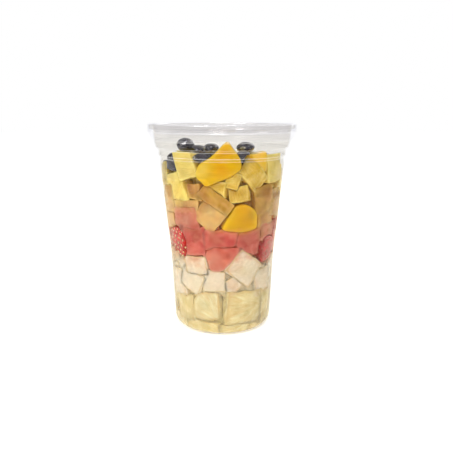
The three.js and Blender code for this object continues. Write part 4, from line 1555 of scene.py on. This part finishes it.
def lid_profile():
    """Half the lid's section: over its panel, band and skirt, and back underneath."""
    panel, plug_top, plug_foot, step, rise = 132.6, 45.6, 44.6, 31, 0.9
    edge, band_foot, skirt = 0.7, 133.2, 46.75
    run = step + 1.2
    inner = LID_RADIUS - LID_SHEET
    return np.array(
        [
            [0, panel + rise], [step, panel + rise], [run, panel], [plug_foot - LID_SHEET, panel],
            [plug_top - LID_SHEET, LID_TOP - edge], [plug_top + LID_SHEET, LID_TOP],
            [LID_RADIUS - edge, LID_TOP], [LID_RADIUS, LID_TOP - edge], [LID_RADIUS, band_foot],
            [skirt, SKIRT_FOOT], [skirt - LID_SHEET, SKIRT_FOOT + LID_SHEET / 2],
            [inner, band_foot + LID_SHEET / 2], [inner, LID_TOP - LID_SHEET], [plug_top, LID_TOP - LID_SHEET],
            [plug_foot, panel - LID_SHEET], [run, panel - LID_SHEET], [step, panel + rise - LID_SHEET],
            [0, panel + rise - LID_SHEET],
        ]
    )


def juice_profile(level, contact):
    """Half the juice's section: its flat top, a small rise to the wall, the wall and the floor."""
    heights = np.linspace(level, FLOOR - NEAR_FLOOR, 60)
    radii = inside_radius(heights) + contact
    rise = [radii[0], level] - np.array(JUICE_RISE)
    flat, bottom = [[0, rise[0, 1]]], [[0, heights[-1]]]
    return np.concatenate([flat, rise, np.stack([radii, heights], axis=1), bottom])


# ---------------------------------------------------------------- operators
LAID = {}


def laid_out(context):
    """The pieces of fruit, laid out once for all operators."""
    if not LAID:
        LAID.update(lay_out(context.scene.cup_sizes.contact / MM, context.scene.fruit_colours))
    return LAID


def core_piece(layer, node, colours):
    """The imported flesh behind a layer's pieces, where it lies and in the layer's first tone."""
    plug = plug_shape(LAYER_HEIGHTS[layer], LAYER_HEIGHTS[layer + 1] - PLUG_GAP, 50 + layer)
    core = Piece(plug, None, LAYERS[node]["tones"][0], turn=0, height=0, radius=0)
    core.points = plug.points
    core.shade = np.tile(getattr(colours, core.tone), (len(core.points), 1))
    return core


class FRUITCUP_OT_cup(bpy.types.Operator):
    """Add the clear cup"""

    bl_idname = "fruitcup.cup"
    bl_label = "Cup"

    def execute(self, context):
        clear = context.scene.fruit_colours.cup_clear
        material = plastic_finish("cup_plastic", clear, haze=0.005, rise=0.25, marks=CUP_BENDS)
        add_revolved("clear_cup", cup_profile(), material, "cup_plastic", ["cup"])
        return {"FINISHED"}


class FRUITCUP_OT_lid(bpy.types.Operator):
    """Add the clear lid"""

    bl_idname = "fruitcup.lid"
    bl_label = "Lid"

    def execute(self, context):
        clear = context.scene.fruit_colours.lid_clear
        material = plastic_finish("lid_plastic", clear, haze=0.02, rise=0.16, marks=LID_BENDS)
        add_revolved("clear_lid", lid_profile(), material, "lid_plastic", ["lid"])
        return {"FINISHED"}


class FRUITCUP_OT_juice(bpy.types.Operator):
    """Add the juice round the fruit"""

    bl_idname = "fruitcup.juice"
    bl_label = "Juice"

    def execute(self, context):
        sizes = context.scene.cup_sizes
        profile = juice_profile(sizes.juice_level / MM, sizes.juice_contact / MM)
        shape = revolved(profile, sizes.segments)
        material = juice_finish("fruit_juice")
        add_object("fruit_juice", shape.points, shape.faces(), material, "pale_pineapple")
        return {"FINISHED"}


class FRUITCUP_OT_layers(bpy.types.Operator):
    """Add the five layers of cut fruit, each over its own core"""

    bl_idname = "fruitcup.layers"
    bl_label = "Layers of fruit"

    def execute(self, context):
        laid = laid_out(context)
        for layer, (node, (slot, finish, settings)) in enumerate(LAYER_FINISHES.items()):
            pieces = [core_piece(layer, node, context.scene.fruit_colours), *laid[node]]
            add_fruit(node + "_pieces", pieces, finish(slot, **settings), slot, [node])
        return {"FINISHED"}


class FRUITCUP_OT_mango(bpy.types.Operator):
    """Add the slices of mango"""

    bl_idname = "fruitcup.mango"
    bl_label = "Mango"

    def execute(self, context):
        material = mango_finish("mango")
        for name in MANGOES:
            add_fruit(name + "_flesh", laid_out(context)[name], material, "mango", [name])
        return {"FINISHED"}


class FRUITCUP_OT_strawberries(bpy.types.Operator):
    """Add the strawberries with their seeds"""

    bl_idname = "fruitcup.strawberries"
    bl_label = "Strawberries"

    def execute(self, context):
        material = strawberry_finish("strawberry")
        for name in STRAWBERRIES:
            add_fruit(name + "_berry", laid_out(context)[name], material, "strawberry", [name])
        return {"FINISHED"}


class FRUITCUP_OT_peach(bpy.types.Operator):
    """Add the orange cube at the top"""

    bl_idname = "fruitcup.peach"
    bl_label = "Peach cube"

    def execute(self, context):
        pieces = laid_out(context)["peach_cube"]
        material = peach_finish("peach", rosiness=0.1, light=0.82)
        add_fruit("peach_cube_flesh", pieces, material, "peach", ["peach_cube"])
        return {"FINISHED"}


class FRUITCUP_OT_grapes(bpy.types.Operator):
    """Add the dark grapes"""

    bl_idname = "fruitcup.grapes"
    bl_label = "Dark grapes"

    def execute(self, context):
        names = [f"dark_grape_{i + 1}" for i in range(len(GRAPES))]
        pieces = [piece for name in names for piece in laid_out(context)[name]]
        add_fruit("dark_grapes", pieces, grape_finish("dark_grape"), "dark_grape", names)
        return {"FINISHED"}


FLOOR_RADIUS, FLOOR_RINGS = 4000, 11
FLOOR_GLOW = 0.46  # which keeps the floor white to its far edge
# Each lamp's size and place, in metres, and the point that all of them face.
LAMPS = {
    "key": (0.3, (-0.42, -0.6, 0.62)),
    "top": (0.25, (0.05, -0.25, 0.75)),
    "rear": (0.4, (0.4, 0.6, 0.45)),
}
LAMP_AIM = (0, 0, 0.07)


class FRUITCUP_OT_stage(bpy.types.Operator):
    """Add the floor, the lights and the camera"""

    bl_idname = "fruitcup.stage"
    bl_label = "Stage"

    def execute(self, context):
        settings = context.scene.stage_settings
        self.add_floor()
        self.add_surround(context.scene, settings)
        self.add_sun(settings)
        for name, (size, place) in LAMPS.items():
            self.add_lamp(name, getattr(settings, name), size, place)
        self.add_camera(context.scene, settings)
        context.scene.view_settings.view_transform = "Standard"
        context.scene.cycles.transparent_max_bounces = 32
        return {"FINISHED"}

    def add_floor(self):
        """A wide flat disc: rings whose radii grow by the square of even steps."""
        radii = np.linspace(0, 1, FLOOR_RINGS + 1)[1:] ** 2 * FLOOR_RADIUS
        top = np.stack([radii, np.zeros(FLOOR_RINGS)], axis=1)
        shape = revolved(np.concatenate([[[0, 0]], top, [[FLOOR_RADIUS, -1], [0, -1]]]), 64)
        finish = Finish("floor_paper")
        mottle = finish.noise(finish.place(), 30, detail=3)
        shade = finish.scaled((0.98, 0.98, 0.98), 0.985 + mottle * 0.03)
        paper = {"Base Color": shade, "Roughness": 0.9, "Specular IOR Level": 0.0}
        paper |= {"Emission Color": (1, 1, 1, 1), "Emission Strength": FLOOR_GLOW}
        surface = finish.node("BsdfPrincipled", {}, paper)
        floor = add_mesh("floor", shape.points, shape.faces(), finish.close(surface))

    def add_surround(self, scene, settings):
        """A white room, less bright as a light than it looks, and darker still in mirror images.

        Sockets 2 and 3 of a Mix node are the numbers that it mixes.
        """
        world = bpy.data.worlds.new("surround")
        world.use_nodes = True
        tree = world.node_tree
        path = tree.nodes.new("ShaderNodeLightPath")
        strength = tree.nodes.new("ShaderNodeMix")
        strength.inputs[2].default_value = settings.surround
        strength.inputs[3].default_value = settings.backdrop
        background = tree.nodes["Background"]
        background.inputs["Color"].default_value = (1, 1, 1, 1)
        mirrored = tree.nodes.new("ShaderNodeMix")
        mirrored.inputs[3].default_value = settings.mirrored
        tree.links.new(path.outputs["Is Camera Ray"], strength.inputs[0])
        tree.links.new(path.outputs["Is Glossy Ray"], mirrored.inputs[0])
        tree.links.new(strength.outputs[0], mirrored.inputs[2])
        tree.links.new(mirrored.outputs[0], background.inputs["Strength"])
        scene.world = world

    def add_sun(self, settings):
        """Soft daylight from the front left."""
        lamp = bpy.data.lights.new("daylight", "SUN")
        lamp.energy = settings.sun
        lamp.angle = settings.sun_spread
        light = bpy.data.objects.new("daylight", lamp)
        light.rotation_euler = (math.pi / 2 - settings.sun_height, 0, -settings.sun_side)
        bpy.context.scene.collection.objects.link(light)

    def add_lamp(self, name, power, size, place):
        """A square lamp that faces the cup."""
        lamp = bpy.data.lights.new(name, "AREA")
        lamp.energy = power
        lamp.size = size
        light = bpy.data.objects.new(name, lamp)
        light.location = place
        aim = np.subtract(LAMP_AIM, place)
        flat = math.hypot(aim[0], aim[1])
        light.rotation_euler = (math.atan2(flat, -aim[2]), 0, math.atan2(-aim[0], aim[1]))
        bpy.context.scene.collection.objects.link(light)

    def add_camera(self, scene, settings):
        """The camera in front of the cup, looking a little down and past its axis."""
        camera = bpy.data.cameras.new("camera")
        camera.lens = settings.lens
        seat = bpy.data.objects.new("camera", camera)
        seat.location = (0, -settings.distance, settings.camera_height)
        seat.rotation_euler = (math.pi / 2 - settings.pitch, 0, -settings.yaw)
        scene.collection.objects.link(seat)
        scene.camera = seat


class FRUITCUP_PT_panel(bpy.types.Panel):
    """The parts of the fruit cup"""

    bl_idname = "FRUITCUP_PT_panel"
    bl_label = "Fruit cup"
    bl_space_type = "VIEW_3D"
    bl_region_type = "UI"
    bl_category = "Fruit cup"

    def draw(self, context):
        for operator in OPERATORS:
            self.layout.operator(operator.bl_idname)


OPERATORS = [
    FRUITCUP_OT_stage,
    FRUITCUP_OT_layers,
    FRUITCUP_OT_mango,
    FRUITCUP_OT_strawberries,
    FRUITCUP_OT_peach,
    FRUITCUP_OT_grapes,
    FRUITCUP_OT_juice,
    FRUITCUP_OT_cup,
    FRUITCUP_OT_lid,
]
SETTINGS = {"cup_sizes": CupSizes, "fruit_colours": FruitColours, "stage_settings": StageSettings}


def register():
    for name, group in SETTINGS.items():
        bpy.utils.register_class(group)
        setattr(bpy.types.Scene, name, bpy.props.PointerProperty(type=group))
    for kind in [*OPERATORS, FRUITCUP_PT_panel]:
        bpy.utils.register_class(kind)


def unregister():
    for kind in [FRUITCUP_PT_panel, *reversed(OPERATORS)]:
        bpy.utils.unregister_class(kind)
    for name, group in reversed(SETTINGS.items()):
        delattr(bpy.types.Scene, name)
        bpy.utils.unregister_class(group)


def main():
    register()
    for operator in OPERATORS:
        getattr(bpy.ops.fruitcup, operator.bl_idname.split(".")[1])()


if __name__ == "__main__":
    main()
